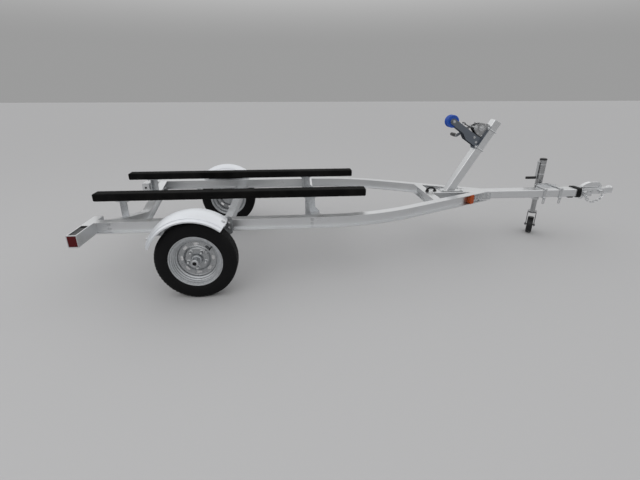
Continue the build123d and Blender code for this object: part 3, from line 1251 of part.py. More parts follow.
def link_points(radius):
    # Outline of a link with four corners round each end.
    straight = (CHAIN_LINK_LENGTH - CHAIN_LINK_WIDTH) / 2
    points = []
    for sign, start in ((1, -90), (-1, 90)):
        for i in range(4):
            a = radians(start + 60 * i)
            points.append((sign * straight + radius * cos(a), radius * sin(a)))
    return points


LINK_INNER = 2 * max(x for x, _ in link_points(CHAIN_LINK_WIDTH / 2 - CHAIN_WIRE))
CHAIN_PITCH = LINK_INNER - CHAIN_PLAY


def make_link():
    ring = make_face(Polyline(*link_points(CHAIN_LINK_WIDTH / 2), close=True))
    ring -= make_face(Polyline(*link_points(CHAIN_LINK_WIDTH / 2 - CHAIN_WIRE), close=True))
    solid = extrude(ring, CHAIN_WIRE / 2, both=True)
    faces = solid.faces().sort_by(Axis.Z)
    return chamfer(faces[-1].edges() + faces[0].edges(), CHAIN_WIRE * 0.28)


def chain_line():
    # Links hang in one even curve, placed from contact point to contact point.
    slopes = [radians(CHAIN_START + CHAIN_TURN * i) for i in range(CHAIN_COUNT)]
    x = CHAIN_BOLT_X - (CHAIN_BOLT + GAP) * cos(slopes[0])
    z = CHAIN_BOLT_Z - (CHAIN_BOLT + GAP) * sin(slopes[0])
    places = []
    for slope in slopes:
        places.append((x + LINK_INNER / 2 * cos(slope), z + LINK_INNER / 2 * sin(slope), slope))
        x += CHAIN_PITCH * cos(slope)
        z += CHAIN_PITCH * sin(slope)
    return places, (x, z), slopes[-1]


def hook_centres():
    # Centres of the S-hook's lower and upper bends: the lower one holds the last link.
    _, end, slope = chain_line()
    reach = HOOK_LOWER - HOOK_WIRE / 2 - HOOK_PLAY
    lower = (end[0] + reach * cos(slope), end[1] + reach * sin(slope))
    upper = (lower[0] - HOOK_LOWER - HOOK_UPPER, lower[1] + HOOK_LEG)
    return lower, upper


def make_chains():
    piece = make_link()
    y = COUPLER_HALF + CHAIN_STANDOFF + GAP + CHAIN_WIRE / 2
    places, _, _ = chain_line()
    solids = []
    for i, (x, z, slope) in enumerate(places):
        roll = 90 if i % 2 == 0 else 0
        solids.append(Pos(x, y, z) * Rot(0, -degrees(slope), 0) * Rot(roll, 0, 0) * piece)
    lower, upper = hook_centres()
    points = []
    # Bends of the hook: centre, radius, angles along the wire
    for centre, radius, angles in (
        (upper, HOOK_UPPER, [205 - HOOK_STEP * i for i in range(5)] + [0]),
        (lower, HOOK_LOWER, [180 + HOOK_STEP * 0.8 * i for i in range(6)]),
    ):
        for angle in angles:
            turn = radians(angle)
            points.append((centre[0] + radius * cos(turn), centre[1] + radius * sin(turn)))
    hook = extrude(Plane.XZ.offset(-y) * bar(points, HOOK_WIRE), HOOK_WIRE / 2, both=True)
    add_pair("safety_chain", Compound(solids + [hook.solid()]))


def make_wiring():
    # Lead from its plug, round the tongue and up through a hole in the tongue's bottom.
    side = TONGUE_HALF + GAP + LEAD_RADIUS
    top = TONGUE_TOP + GAP + LEAD_RADIUS
    low = TONGUE_BOTTOM - GAP - LEAD_RADIUS
    bend = TONGUE_CORNER + GAP + LEAD_RADIUS
    plug_x = LEAD_START - bend - 1
    route = [(plug_x, LEAD_PLUG_Y, low), (LEAD_START, LEAD_PLUG_Y, low)]
    x = LEAD_START
    for _ in range(LEAD_TURNS):
        for y, z in ((side, low), (side, top), (-side, top), (-side, low)):
            x += LEAD_PITCH / 4
            route.append((x, y, z))
    route += [(x + LEAD_PITCH / 4, 0, low), (LEAD_HOLE_X, 0, low), (LEAD_HOLE_X, 0, low + 2 * bend)]
    add("wiring_lead", hose(route, bend, LEAD_RADIUS))
    half = PLUG_WIDTH / 2
    under = TONGUE_BOTTOM - GAP
    plug_y = (LEAD_PLUG_Y - half, LEAD_PLUG_Y + half)
    plug = block(plug_x - PLUG_LENGTH, plug_x, *plug_y, under - PLUG_HEIGHT, under)
    add("wiring_plug", chamfer(plug.edges().filter_by(Axis.X), 3))
    # Harness: a short loop from the tongue's top to the front cross member's, with a collar at each end.
    front = TONGUE_REAR + HARNESS_ON_TONGUE
    rear = FRONT_CROSS_X + HARNESS_ON_CROSS
    crest = TONGUE_TOP + HARNESS_RISE
    route = [(front, 0, TONGUE_TOP + GAP), (front, 0, crest), (rear, 0, crest), (rear, 0, RAIL_TOP + GAP)]
    boot = hose(route, HARNESS_BEND, HARNESS_RADIUS)
    for x, _, z in (route[0], route[-1]):
        boot += rod((x, 0, z), (x, 0, z + 5), HARNESS_COLLAR)
    add("harness_boot", boot)


def build():
    rail_block = make_rails()
    make_tongue()
    envelopes = make_cross_members(rail_block)
    make_wheels()
    make_axle()
    make_fenders()
    make_bunks(envelopes)
    make_lights()
    make_markers()
    make_winch_stand()
    make_winch()
    make_jack()
    make_coupler()
    make_chains()
    make_wiring()


build()
os.makedirs("parts", exist_ok=True)
SHIFT = Pos((REAR_REACH - NOSE_REACH) / 2, 0, 0)
for node, shape in NODES.items():
    solids = [SHIFT * solid for solid in shape.solids()]
    export_step(solids[0] if len(solids) == 1 else Compound(solids), f"parts/{node}.step")
print(len(NODES), "nodes")
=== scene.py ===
import json
from math import acos, atan2, cos, hypot, pi, radians, sin

import bmesh
import bpy
import numpy as np
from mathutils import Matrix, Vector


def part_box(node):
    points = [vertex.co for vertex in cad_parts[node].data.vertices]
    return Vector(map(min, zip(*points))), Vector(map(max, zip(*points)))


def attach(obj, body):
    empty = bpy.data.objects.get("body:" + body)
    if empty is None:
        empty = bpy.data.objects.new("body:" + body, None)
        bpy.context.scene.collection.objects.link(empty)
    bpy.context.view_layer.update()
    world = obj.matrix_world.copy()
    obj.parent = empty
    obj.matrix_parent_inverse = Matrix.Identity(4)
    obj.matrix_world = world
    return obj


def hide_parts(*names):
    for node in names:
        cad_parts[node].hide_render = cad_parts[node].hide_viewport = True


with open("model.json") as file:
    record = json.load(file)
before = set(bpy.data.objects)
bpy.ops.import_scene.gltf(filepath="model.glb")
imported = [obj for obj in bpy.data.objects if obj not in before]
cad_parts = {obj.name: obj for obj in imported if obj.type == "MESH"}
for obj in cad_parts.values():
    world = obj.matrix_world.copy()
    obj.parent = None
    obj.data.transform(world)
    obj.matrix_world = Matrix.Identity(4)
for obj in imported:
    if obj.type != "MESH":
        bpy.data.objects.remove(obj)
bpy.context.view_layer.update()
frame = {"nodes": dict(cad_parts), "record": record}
nodes = frame["nodes"]
rng = np.random.default_rng(7)
print("frame loaded:", len(nodes), "nodes")

# Shapes are worked out in millimetres from the axle centre: x forward, y to the left, z up from the ground.
axleX = float(sum(corner[0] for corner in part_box("tyre_left")) / 2)
sides = (("left", 1), ("right", -1))
forward, backward = (1, 0, 0), (-1, 0, 0)
leftward, rightward = (0, 1, 0), (0, -1, 0)
upward, downward = (0, 0, 1), (0, 0, -1)
rail = {"y": 571, "web": 3.3, "flange": 5.1, "low": 392.8, "high": 469, "turn": 27}  # turn in degrees


def boxOf(node):
    # Lowest and highest corner of a node, in the shapes' own frame.
    return np.array(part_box(node)) * 1000 - (axleX * 1000, 0, 0)


def linkObject(name, data):
    obj = bpy.data.objects.new(name, data)
    bpy.context.scene.collection.objects.link(obj)
    return obj


# nodes of the materials
def setInputs(tree, made, inputs):
    # An input takes a value, or a link where it is given another node's output.
    for name, value in inputs.items():
        if isinstance(value, bpy.types.NodeSocket):
            tree.links.new(value, made.inputs[name])
        else:
            made.inputs[name].default_value = value


def addNode(tree, kind, inputs=None, **settings):
    made = tree.nodes.new("ShaderNode" + kind)
    for name, value in settings.items():
        setattr(made, name, value)
    setInputs(tree, made, inputs or {})
    return made


def mathOn(tree, operation, *inputs):
    return addNode(tree, "Math", dict(enumerate(inputs)), operation=operation).outputs[0]


def mapRange(tree, value, start, end, low=0.0, high=1.0, kind="LINEAR"):
    # Carries the span from start to end over to the span from low to high.
    inputs = {"Value": value, "From Min": start, "From Max": end, "To Min": low, "To Max": high}
    return addNode(tree, "MapRange", inputs, interpolation_type=kind).outputs["Result"]


def newMaterial(name, colour, metal, rough):
    mat = bpy.data.materials.new(name)
    mat.use_nodes = True
    shader = mat.node_tree.nodes["Principled BSDF"]
    setInputs(mat.node_tree, shader, {"Base Color": (*colour, 1), "Metallic": metal, "Roughness": rough})
    return mat, mat.node_tree, shader


# camera and studio
camera = {
    "ahead": 0.6056,  # of the axle
    "aside": -3.0288,
    "height": 1.2914,
    "yaw": 0.0799,  # towards the coupler
    "pitch": 0.3849,  # down from level
    "focal": 383.51 / 640,  # of the image width
}
studio = {
    "floor": (0.49, 0.49, 0.495),
    "floorHalf": 30.0,
    "horizon": 0.33,
    "bright": 1.02,
    "zenith": 0.68,
    "rise": (0.08, 0.42),  # sines of the heights between which the sky brightens
    "fall": 0.4,  # sine of the height from which it darkens to the zenith
    "keyPower": 46.0,
    "keyPlace": (-1.8, -2.4, 4.6),
    "keyTurn": (0.45, -0.3, 0),
    "keySize": 6.0,
}


def makeCamera():
    data = bpy.data.cameras.new("camera")
    data.sensor_width = 36.0
    data.lens = data.sensor_width * camera["focal"]
    data.clip_start = 0.05
    obj = linkObject("camera", data)
    obj.location = (axleX + camera["ahead"], camera["aside"], camera["height"])
    obj.rotation_euler = (pi / 2 - camera["pitch"], 0, -camera["yaw"])
    bpy.context.scene.camera = obj


def makeFloor():
    half = studio["floorHalf"]
    corners = [(x * half, y * half, 0) for x, y in ((-1, -1), (1, -1), (1, 1), (-1, 1))]
    floor = bpy.data.meshes.new("floor")
    floor.from_pydata(corners, [], [(0, 1, 2, 3)])
    linkObject("floor", floor)
    mat, _, _ = newMaterial("paleFloor", studio["floor"], 0.0, 0.9)
    floor.materials.append(mat)


def makeSky():
    # Darkest at the horizon and brightest a third of the way up; the camera and the metals see the same sky.
    world = bpy.data.worlds.new("studio")
    bpy.context.scene.world = world
    world.use_nodes = True
    tree = world.node_tree
    coord = addNode(tree, "TexCoord")
    height = addNode(tree, "SeparateXYZ", {"Vector": coord.outputs["Generated"]}).outputs["Z"]
    s = studio
    rise = mapRange(tree, height, *s["rise"], s["horizon"], s["bright"], "SMOOTHSTEP")
    fall = mapRange(tree, height, s["fall"], 1, 0, s["zenith"] - s["bright"])
    strength = mathOn(tree, "ADD", rise, fall)
    setInputs(tree, tree.nodes["Background"], {"Color": (1, 1, 1, 1), "Strength": strength})


def makeStudio():
    makeFloor()
    makeSky()
    key = bpy.data.lights.new("key", "AREA")
    key.energy = studio["keyPower"]
    key.size = studio["keySize"]
    obj = linkObject("key", key)
    obj.location = studio["keyPlace"]
    obj.rotation_euler = studio["keyTurn"]
    bpy.context.scene.view_settings.view_transform = "Standard"


makeCamera()
makeStudio()
print("camera and studio set")

# finishes; bumps and the rounding of edges in millimetres
metals = {
    # colour, roughness, how far the colour varies, stretch of the grain or scale of the crystals, bump
    "mill_aluminium": ((0.69, 0.70, 0.71), 0.32, 0.10, (3, 90, 90), 0.10),
    "galvanised_steel": ((0.52, 0.535, 0.55), 0.44, 0.26, 95, 0.12),
    "galvanised_steel.rim": ((0.40, 0.41, 0.42), 0.32, 0.22, 110, 0.10),
    "zinc_plate": ((0.60, 0.61, 0.62), 0.30, 0.14, (40, 40, 40), 0.06),
    # darker zinc: real wear and grease, plus painted shade for parts that stand in shadow
    "zinc_plate.worn_and_painted_shade": ((0.40, 0.405, 0.41), 0.26, 0.30, (14, 14, 3), 0.06),
    # dark copy of zinc plate: painted shade for the caster's fork, which stands in shadow
    "zinc_plate.painted_shade": ((0.20, 0.20, 0.21), 0.32, 0.30, (20, 20, 20), 0.08),
    "zinc_plate.bright": ((0.72, 0.73, 0.74), 0.20, 0.24, (30, 30, 30), 0.10),
    "fender_sheet": ((0.80, 0.82, 0.85), 0.46, 0.06, (9, 9, 9), 0.10),
    "grey_plate": ((0.17, 0.19, 0.22), 0.45, 0.18, (60, 60, 60), 0.10),
}
plastics = {
    # colour, roughness, how far the colour varies, scale of its noise, scale of the grain, bump, gloss
    "tyre_rubber": ((0.0055, 0.0055, 0.006), 0.52, 0.5, 45, 900, 0.25, 0.12),
    "black_rubber": ((0.008, 0.008, 0.0085), 0.50, 0.4, 80, 900, 0.1, 0.25),
    "black_plastic": ((0.010, 0.010, 0.011), 0.38, 0.3, 60, 1400, 0.12, 0.35),
    "blue_urethane": ((0.008, 0.075, 0.42), 0.24, 0.25, 40, 300, 0.1, 0.5),
}
lenses = {
    "red_lens": dict(colour=(0.105, 0.001, 0.003), rough=0.14, ribs=130, axis="Y"),
    "amber_lens": dict(colour=(0.38, 0.055, 0.002), rough=0.16, ribs=150, axis="Z"),
}
carpetLook = dict(colour=(0.0034, 0.0034, 0.0036), dust=(0.012, 0.0115, 0.011), tuft=420, bump=1.1)
webbingLook = dict(colour=(0.012, 0.012, 0.013), light=(0.035, 0.035, 0.036), threads=900, bump=0.4)
nodeLooks = {
    # painted shade darkens the jack's and the winch's zinc, together with real wear and grease
    "jack_tube": "zinc_plate.worn_and_painted_shade",
    "jack_leg": "zinc_plate.worn_and_painted_shade",
    # painted shade on the caster's fork
    "caster_fork": "zinc_plate.painted_shade",
    "winch_drum": "zinc_plate.worn_and_painted_shade",
    "winch_frame": "zinc_plate.worn_and_painted_shade",
    "coupler": "zinc_plate.bright",
    "coupler_latch": "zinc_plate.bright",
    "jack_mount": "zinc_plate.bright",
}
cadEdge = 1.0  # rounding that shades the CAD pieces' edges


def coordOf(tree, kind="Object"):
    return addNode(tree, "TexCoord").outputs[kind]


def noiseOn(tree, vector, scale, detail=4.0):
    return addNode(tree, "TexNoise", {"Vector": vector, "Scale": scale, "Detail": detail}).outputs["Fac"]


def blendColours(tree, shader, factor, first, second):
    mix = addNode(tree, "Mix", data_type="RGBA")
    setInputs(tree, mix, {"A": (*first, 1), "B": (*second, 1), "Factor": factor})
    setInputs(tree, shader, {"Base Color": mix.outputs["Result"]})


def varyColour(tree, shader, factor, colour, vary):
    # The colour swings between a darker and a lighter tone with the factor.
    dark = [c * (1 - vary) for c in colour]
    light = [min(1, c * (1 + vary)) for c in colour]
    blendColours(tree, shader, factor, dark, light)


def varyRough(tree, shader, factor, low, high):
    setInputs(tree, shader, {"Roughness": mapRange(tree, factor, 0.3, 0.7, low, high)})


def addBump(tree, shader, height, depth, strength, edge=0.0):
    bump = addNode(tree, "Bump", {"Height": height, "Strength": strength, "Distance": depth / 1000})
    if edge:
        bevel = addNode(tree, "Bevel", {"Radius": edge / 1000}, samples=4)
        setInputs(tree, bump, {"Normal": bevel.outputs["Normal"]})
    setInputs(tree, shader, {"Normal": bump.outputs["Normal"]})


def metalFinish(name, edge):
    colour, rough, vary, grain, bump = metals[name.replace(".fine", "")]
    mat, tree, shader = newMaterial(name, colour, 1.0, rough)
    coord = coordOf(tree)
    if isinstance(grain, tuple):
        # Drawing lines or brushing: noise stretched along the piece.
        stretch = addNode(tree, "Mapping", {"Vector": coord, "Scale": grain})
        fine = noiseOn(tree, stretch.outputs["Vector"], 6.0, 6.0)
    else:
        # Crystals of zinc: each cell has its own tone.
        cells = addNode(tree, "TexVoronoi", {"Vector": coord, "Scale": grain, "Randomness": 1.0})
        fine = addNode(tree, "RGBToBW", {"Color": cells.outputs["Color"]}).outputs["Val"]
    stains = mathOn(tree, "MULTIPLY", noiseOn(tree, coord, 7.0, 5.0), 0.4)
    tone = mathOn(tree, "MULTIPLY_ADD", fine, 0.6, stains)
    varyColour(tree, shader, tone, colour, vary)
    varyRough(tree, shader, tone, rough - 0.07, rough + 0.09)
    addBump(tree, shader, fine, bump, 0.5, edge)
    return mat


def plasticFinish(name, edge):
    colour, rough, vary, scale, fine, bump, gloss = plastics[name.replace(".fine", "")]
    mat, tree, shader = newMaterial(name, colour, 0.0, rough)
    setInputs(tree, shader, {"Specular IOR Level": gloss})
    coord = coordOf(tree)
    tone = noiseOn(tree, coord, scale)
    varyColour(tree, shader, tone, colour, vary)
    varyRough(tree, shader, tone, rough - 0.08, rough + 0.10)
    addBump(tree, shader, noiseOn(tree, coord, fine, 2.0), bump, 0.6, edge)
    return mat


def lensFinish(name):
    # Moulded prisms behind a glossy skin.
    look = lenses[name]
    mat, tree, shader = newMaterial(name, look["colour"], 0.0, look["rough"])
    setInputs(tree, shader, {"Coat Weight": 0.10, "Coat Roughness": 0.06, "Specular IOR Level": 0.2})
    ribs = {"Vector": coordOf(tree), "Scale": look["ribs"] / 2}
    ribs = addNode(tree, "TexWave", ribs, bands_direction=look["axis"]).outputs["Fac"]
    varyColour(tree, shader, ribs, look["colour"], 0.32)
    addBump(tree, shader, ribs, 0.6, 0.8)
    return mat


def carpetFinish():
    # Needle-punched fibres: short tufts, a little dust on their tips, and a soft sheen.
    look = carpetLook
    mat, tree, shader = newMaterial("carpet", look["colour"], 0.0, 0.95)
    setInputs(tree, shader, {"Sheen Weight": 0.03, "Sheen Roughness": 0.5, "Specular IOR Level": 0.05})
    coord = coordOf(tree)
    tufts = noiseOn(tree, coord, look["tuft"], 6.0)
    specks = mathOn(tree, "MULTIPLY", tufts, noiseOn(tree, coord, 9.0, 3.0))
    blendColours(tree, shader, mapRange(tree, specks, 0.16, 0.42), look["colour"], look["dust"])
    addBump(tree, shader, tufts, look["bump"], 1.0)
    return mat


def webbingFinish():
    # Woven strap: ribs of warp along the strap, crossed by the weft, on the band's own UV map.
    look = webbingLook
    mat, tree, shader = newMaterial("webbing", look["colour"], 0.0, 0.75)
    setInputs(tree, shader, {"Sheen Weight": 0.15})
    coord = coordOf(tree, "UV")
    warp = addNode(tree, "TexWave", {"Vector": coord, "Scale": look["threads"] / 6}, bands_direction="Y")
    weft = addNode(tree, "TexWave", {"Vector": coord, "Scale": look["threads"] / 9}, bands_direction="X")
    cloth = mathOn(tree, "MULTIPLY", warp.outputs["Fac"], weft.outputs["Fac"])
    blendColours(tree, shader, cloth, look["colour"], look["light"])
    addBump(tree, shader, cloth, look["bump"], 0.8)
    return mat


def makeFinishes():
    # One finish for the CAD pieces, with shaded edges, and one for the modelled pieces.
    finishes = {}
    for slot in metals:
        finishes[slot] = metalFinish(slot, cadEdge)
        if "." not in slot:
            finishes[slot + ".fine"] = metalFinish(slot + ".fine", 0.0)
    for slot in plastics:
        finishes[slot] = plasticFinish(slot, cadEdge)
        finishes[slot + ".fine"] = plasticFinish(slot + ".fine", 0.0)
    for slot in lenses:
        finishes[slot] = lensFinish(slot)
    finishes["carpet"] = carpetFinish()
    finishes["black_webbing"] = webbingFinish()
    for part in frame["record"]["subparts"]:
        obj = nodes[part["node"]]
        obj.data.materials.clear()
        obj.data.materials.append(finishes[nodeLooks.get(part["node"], part["material_slot"])])
    return finishes


finishes = makeFinishes()
print("finishes made:", len(finishes))


# shape tools: every shape is a pair of arrays, its points and its faces
def surface(points, closeRows=False):
    # Faces between neighbouring rows and columns of a grid of points; columns, and closed rows, wrap round.
    rows, cols = points.shape[:2]
    r = np.arange(rows if closeRows else rows - 1)[:, None]
    c = np.arange(cols)[None, :]
    nextR = (r + 1) % rows
    nextC = (c + 1) % cols
    quads = np.stack([r * cols + c, r * cols + nextC, nextR * cols + nextC, nextR * cols + c], axis=-1)
    return points.reshape(-1, 3), quads.reshape(-1, 4)


def unit(vector):
    vector = np.asarray(vector, float)
    return vector / np.linalg.norm(vector, axis=-1, keepdims=True)


def arcPoints(angles):
    # Points of the unit circle, the angles in radians.
    return np.stack([np.cos(angles), np.sin(angles)], axis=-1)


def crossAxes(axis):
    axis = unit(axis)
    helper = np.array((0.0, 0.0, 1.0)) if abs(axis[2]) < 0.9 else np.array((1.0, 0.0, 0.0))
    u = unit(np.cross(helper, axis))
    return u, np.cross(axis, u), axis


def turned(profile, steps, origin=(0, 0, 0), axis=upward, closed=False):
    # Each profile point, a distance along the axis and a radius, makes a full circle round it.
    u, v, w = crossAxes(axis)
    turn = np.linspace(0, 2 * pi, steps, endpoint=False)
    circle = np.cos(turn)[:, None] * u + np.sin(turn)[:, None] * v
    along, radius = np.asarray(profile, float).T
    points = np.asarray(origin, float) + along[:, None, None] * w + radius[:, None, None] * circle[None]
    return surface(points, closeRows=closed)


def ringed(rings, steps=24):
    # Rings round the z axis, each a radius, which is one number or one for each angle, and a height.
    turn = np.linspace(0, 2 * pi, steps, endpoint=False)
    rows = [np.stack([r * np.cos(turn), r * np.sin(turn), h + 0 * turn], axis=-1) for r, h in rings]
    return surface(np.array(rows))


def capped(rings):
    # Closes a row of rings with the middle of its first ring and the middle of its last.
    ends = np.broadcast_to(rings[[0, -1]].mean(1, keepdims=True), (2, *rings.shape[1:]))
    return np.concatenate([ends[:1], rings, ends[1:]])


def swept(path, radius, steps, across, closed=False):
    # A circle carried along a flat path; across is the normal of the path's plane.
    path = np.asarray(path, float)
    if closed:
        tangent = unit(np.roll(path, -1, 0) - np.roll(path, 1, 0))
    else:
        tangent = unit(np.gradient(path, axis=0))
    across = unit(across)
    side = unit(np.cross(tangent, across))
    turn = np.linspace(0, 2 * pi, steps, endpoint=False)
    ring = np.cos(turn)[None, :, None] * side[:, None, :] + np.sin(turn)[None, :, None] * across
    points = path[:, None, :] + radius * ring
    return surface(points if closed else capped(points), closeRows=closed)


def roundedOutline(width, height, radius, perCorner=6):
    # Corner arcs of one radius, joined by straight sides.
    centres = np.array([(1, 1), (-1, 1), (-1, -1), (1, -1)]) * (width / 2 - radius, height / 2 - radius)
    turns = np.linspace(0, pi / 2, perCorner)[None, :] + np.arange(4)[:, None] * pi / 2
    points = centres[:, None, :] + radius * arcPoints(turns)
    return points.reshape(-1, 2)


def stacked(levels, origin, u, v, w, perCorner=6):
    # Rounded rectangles, each (width, height, radius, distance along w), joined and closed at both ends.
    origin, u, v, w = (np.asarray(a, float) for a in (origin, u, v, w))
    rings = []
    for width, height, radius, along in levels:
        flat = roundedOutline(width, height, radius, perCorner)
        rings.append(origin + flat[:, :1] * u + flat[:, 1:] * v + along * w)
    return surface(capped(np.array(rings)))


def windowed(outer, inner, origin, u, v, w, thick):
    # A flat plate with a hole: two outlines of as many points, joined on the front, the back and both edges.
    u, v, w = (np.asarray(a, float) for a in (u, v, w))
    a, b = (np.asarray(origin, float) + line[:, :1] * u + line[:, 1:] * v for line in (outer, inner))
    return surface(np.stack([a, b, b + thick * w, a + thick * w]), closeRows=True)


def placed(shape, origin, axis, turn=0.0):
    # A shape drawn up the z axis, stood on origin along axis.
    points, faces = shape
    u, v, w = crossAxes(axis)
    a = cos(turn) * u + sin(turn) * v
    b = cos(turn) * v - sin(turn) * u
    return np.asarray(origin, float) + points[:, :1] * a + points[:, 1:2] * b + points[:, 2:] * w, faces


def mirrored(shape):
    return shape[0] * (1, -1, 1), shape[1]


def smoothLine(knots, per):
    # Catmull-Rom curve through the knots: each span blends its four neighbours with cubic weights.
    knots = np.asarray(knots, float)
    ends = np.concatenate([knots[:1] * 2 - knots[1:2], knots, knots[-1:] * 2 - knots[-2:-1]])
    t = np.linspace(0, 1, per, endpoint=False)[None, :, None]
    a, b, c, d = ends[:-3, None], ends[1:-2, None], ends[2:-1, None], ends[3:, None]
    line = 0.5 * (2 * b + (c - a) * t + (2 * a - 5 * b + 4 * c - d) * t**2 + (3 * b - a - 3 * c + d) * t**3)
    return np.concatenate([line.reshape(-1, knots.shape[1]), knots[-1:]])


def finishPiece(name, data, finish, body="frame", replaces=()):
    data.materials.append(finishes[finish])
    obj = linkObject(name, data)
    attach(obj, body)
    if replaces:
        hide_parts(*replaces)
    return obj


def makePiece(name, shapes, finish, body="frame", replaces=(), sharp=35, uv=None):
    # Joins the shapes, merges poles and seams, turns faces outwards and shades smooth up to the sharp angle.
    starts = np.cumsum([0] + [len(points) for points, _ in shapes])
    points = np.concatenate([points for points, _ in shapes]) / 1000 + (axleX, 0, 0)
    faces = np.concatenate([quads + start for (_, quads), start in zip(shapes, starts)])
    mesh = bpy.data.meshes.new(name)
    mesh.from_pydata(points, [], faces)
    if uv is not None:
        layer = mesh.uv_layers.new(name="UVMap")
        layer.data.foreach_set("uv", uv[faces.ravel()].astype(np.float32).ravel())
    work = bmesh.new()
    work.from_mesh(mesh)
    bmesh.ops.remove_doubles(work, verts=work.verts, dist=1e-6)
    bmesh.ops.recalc_face_normals(work, faces=work.faces)
    work.to_mesh(mesh)
    work.free()
    mesh.polygons.foreach_set("use_smooth", np.ones(len(mesh.polygons), bool))
    mesh.set_sharp_from_angle(angle=radians(sharp))
    return finishPiece(name, mesh, finish, body, replaces)


def makePairs(*rows):
    # A row is a piece of the left side, mirrored for the right: its name, shapes and finish, then the names
    # of its body and of the node that it replaces, which end with the side too, and its sharp angle.
    for side, sign in sides:
        for name, shapes, finish, settings in rows:
            shapes = shapes if sign > 0 else [mirrored(shape) for shape in shapes]
            body = settings["body"] + "_" + side if "body" in settings else "frame"
            replaces = [settings["replaces"] + "_" + side] if "replaces" in settings else ()
            makePiece(name + "_" + side, shapes, finish, body, replaces, settings.get("sharp", 35))


def addCord(name, route, radius, finish, replaced):
    # A smooth line of order 3 that the route's points pull into shape, with a round section.
    curve = bpy.data.curves.new(name, "CURVE")
    curve.dimensions = "3D"
    spline = curve.splines.new("NURBS")
    spline.points.add(len(route) - 1)
    points = np.ones((len(route), 4))
    points[:, :3] = np.asarray(route, float) / 1000 + (axleX, 0, 0)
    spline.points.foreach_set("co", points.ravel())
    spline.order_u = 3
    spline.use_endpoint_u = True
    spline.resolution_u = 8
    curve.resolution_u = 8
    curve.bevel_depth = radius / 1000
    curve.bevel_resolution = 3
    curve.use_fill_caps = True
    return finishPiece(name, curve, finish, "frame", [replaced]), tuple(points[0, :3])


# wiring: a lead wound on the tongue, its plug, and the loom behind the tongue
lead = {
    "radius": 4,
    "length": 1.46,  # in metres
    "pitch": 10.5,
    "turns": 4,
    "perTurn": 12,  # points of the route
    "start": 3064,  # station of the turn next to the hole
    "hole": 3104,
    "wide": 55.9,
    "middle": 440.25,
    "tall": 36.65,
    "plug": (3016, -30, 402.7),
}
loom = {
    "radius": 7,
    "length": 0.10,  # in metres
    "route": ((1805.75, 0, 472.3), (1805.75, 0, 500), (1742, 0, 500), (1742, 0, 469.3)),
    "collar": 15,
    "collarHeights": (16, 26),
}


def leadRoute():
    # Out of the hole and along the tongue's bottom, then round an outline whose width and height follow the
    # fifth roots of the cosine and sine, and back to the plug.
    e = lead
    low = e["middle"] - e["tall"]
    count = e["perTurn"]
    turn = np.radians(255 - 360 / count * np.arange(count * e["turns"]))
    y = e["wide"] * np.sign(np.cos(turn)) * np.abs(np.cos(turn)) ** 0.2
    z = e["middle"] + e["tall"] * np.sign(np.sin(turn)) * np.abs(np.sin(turn)) ** 0.2
    x = e["start"] - e["pitch"] * np.arange(len(turn)) / count
    hole, end = e["hole"], e["plug"]
    first = [(hole, 0, low + 11), (hole, 0, low), (hole - 20, 0, low), (e["start"] + 6, -2, low)]
    last = [(end[0] + 4, 12, low), (end[0] + 3, end[1] + 4, low), (end[0] - 10, end[1], low - 0.6)]
    return np.concatenate([first, np.stack([x, y, z], axis=-1), last])


def makeWiring():
    # The plug's neck widens to a flat body with a groove and a narrower mouth.
    e = lead
    levels = [(8.8, 8.6, 4.2, 0), (10, 9.6, 4.4, 4), (13, 10.6, 4.6, 6.3), (24, 11, 3, 9), (24, 11, 3, 29)]
    levels += [(22.4, 9.8, 3, 30), (22.4, 9.8, 3, 32), (24, 11, 3, 33), (24, 11, 3, 48.6), (22, 9, 3, 50.3)]
    plug = stacked(levels, e["plug"], leftward, upward, backward)
    plug = makePiece("flat_plug", [plug], "black_rubber.fine", replaces=["wiring_plug"])
    cord, leaves = addCord("wound_lead", leadRoute(), e["radius"], "black_rubber.fine", "wiring_lead")
    e = loom
    wide, slim = e["collar"], e["radius"]
    collars = []
    for place, tall in zip((e["route"][0], e["route"][-1]), e["collarHeights"]):
        collar = [(0, 0), (0, wide), (3, wide), (4.5, wide - 1.6), (7, wide - 2), (tall * 0.6, slim + 2.4)]
        collar += [(tall - 1.5, slim + 1.6), (tall, slim + 0.6), (tall, 0)]
        collars.append(turned(collar, 32, place))
    collars = makePiece("loom_collars", collars, "black_rubber.fine")
    cord, leaves = addCord("harness_loom", e["route"], e["radius"], "black_rubber.fine", "harness_boot")


makeWiring()
print("wiring made")

# tyres
tyre = {
    "radius": 258,
    "track": 736,
    "steps": 512,
    "grooves": (-31, -11, 11, 31),
    "grooveWidth": 4.6,
    "grooveDepth": 5.5,
    "grooveEdge": 1.35,  # half widths out to where a groove's wall ends
    "blocks": 64,  # round the tread
    "zigzag": 0.22,  # half blocks that the sipes slant by, at zigzagAt from the middle
    "zigzagAt": 46,
    "sipeReach": 44,  # from the middle of the tread
    "sipeShare": 0.14,  # of a block
    "sipeDepth": 2.4,
    "lugPlace": 48,  # of the shoulder's notches, which fade out over lugHalf
    "lugHalf": 7.0,
    "lugShare": 0.26,
    "lugDepth": 4.5,
    "rings": ((186, 0.7), (193, 0.5), (231, 0.7), (236, 0.5)),  # moulded on the sidewall: radius, height
    "ringHalf": 1.3,
    "ringFrom": 50.9,  # from the middle of the tread
    "valve": (100, 14, 83),  # ahead of, outboard of and above the wheel's centre
    "valveAxis": (-0.3, 1, -0.25),
}


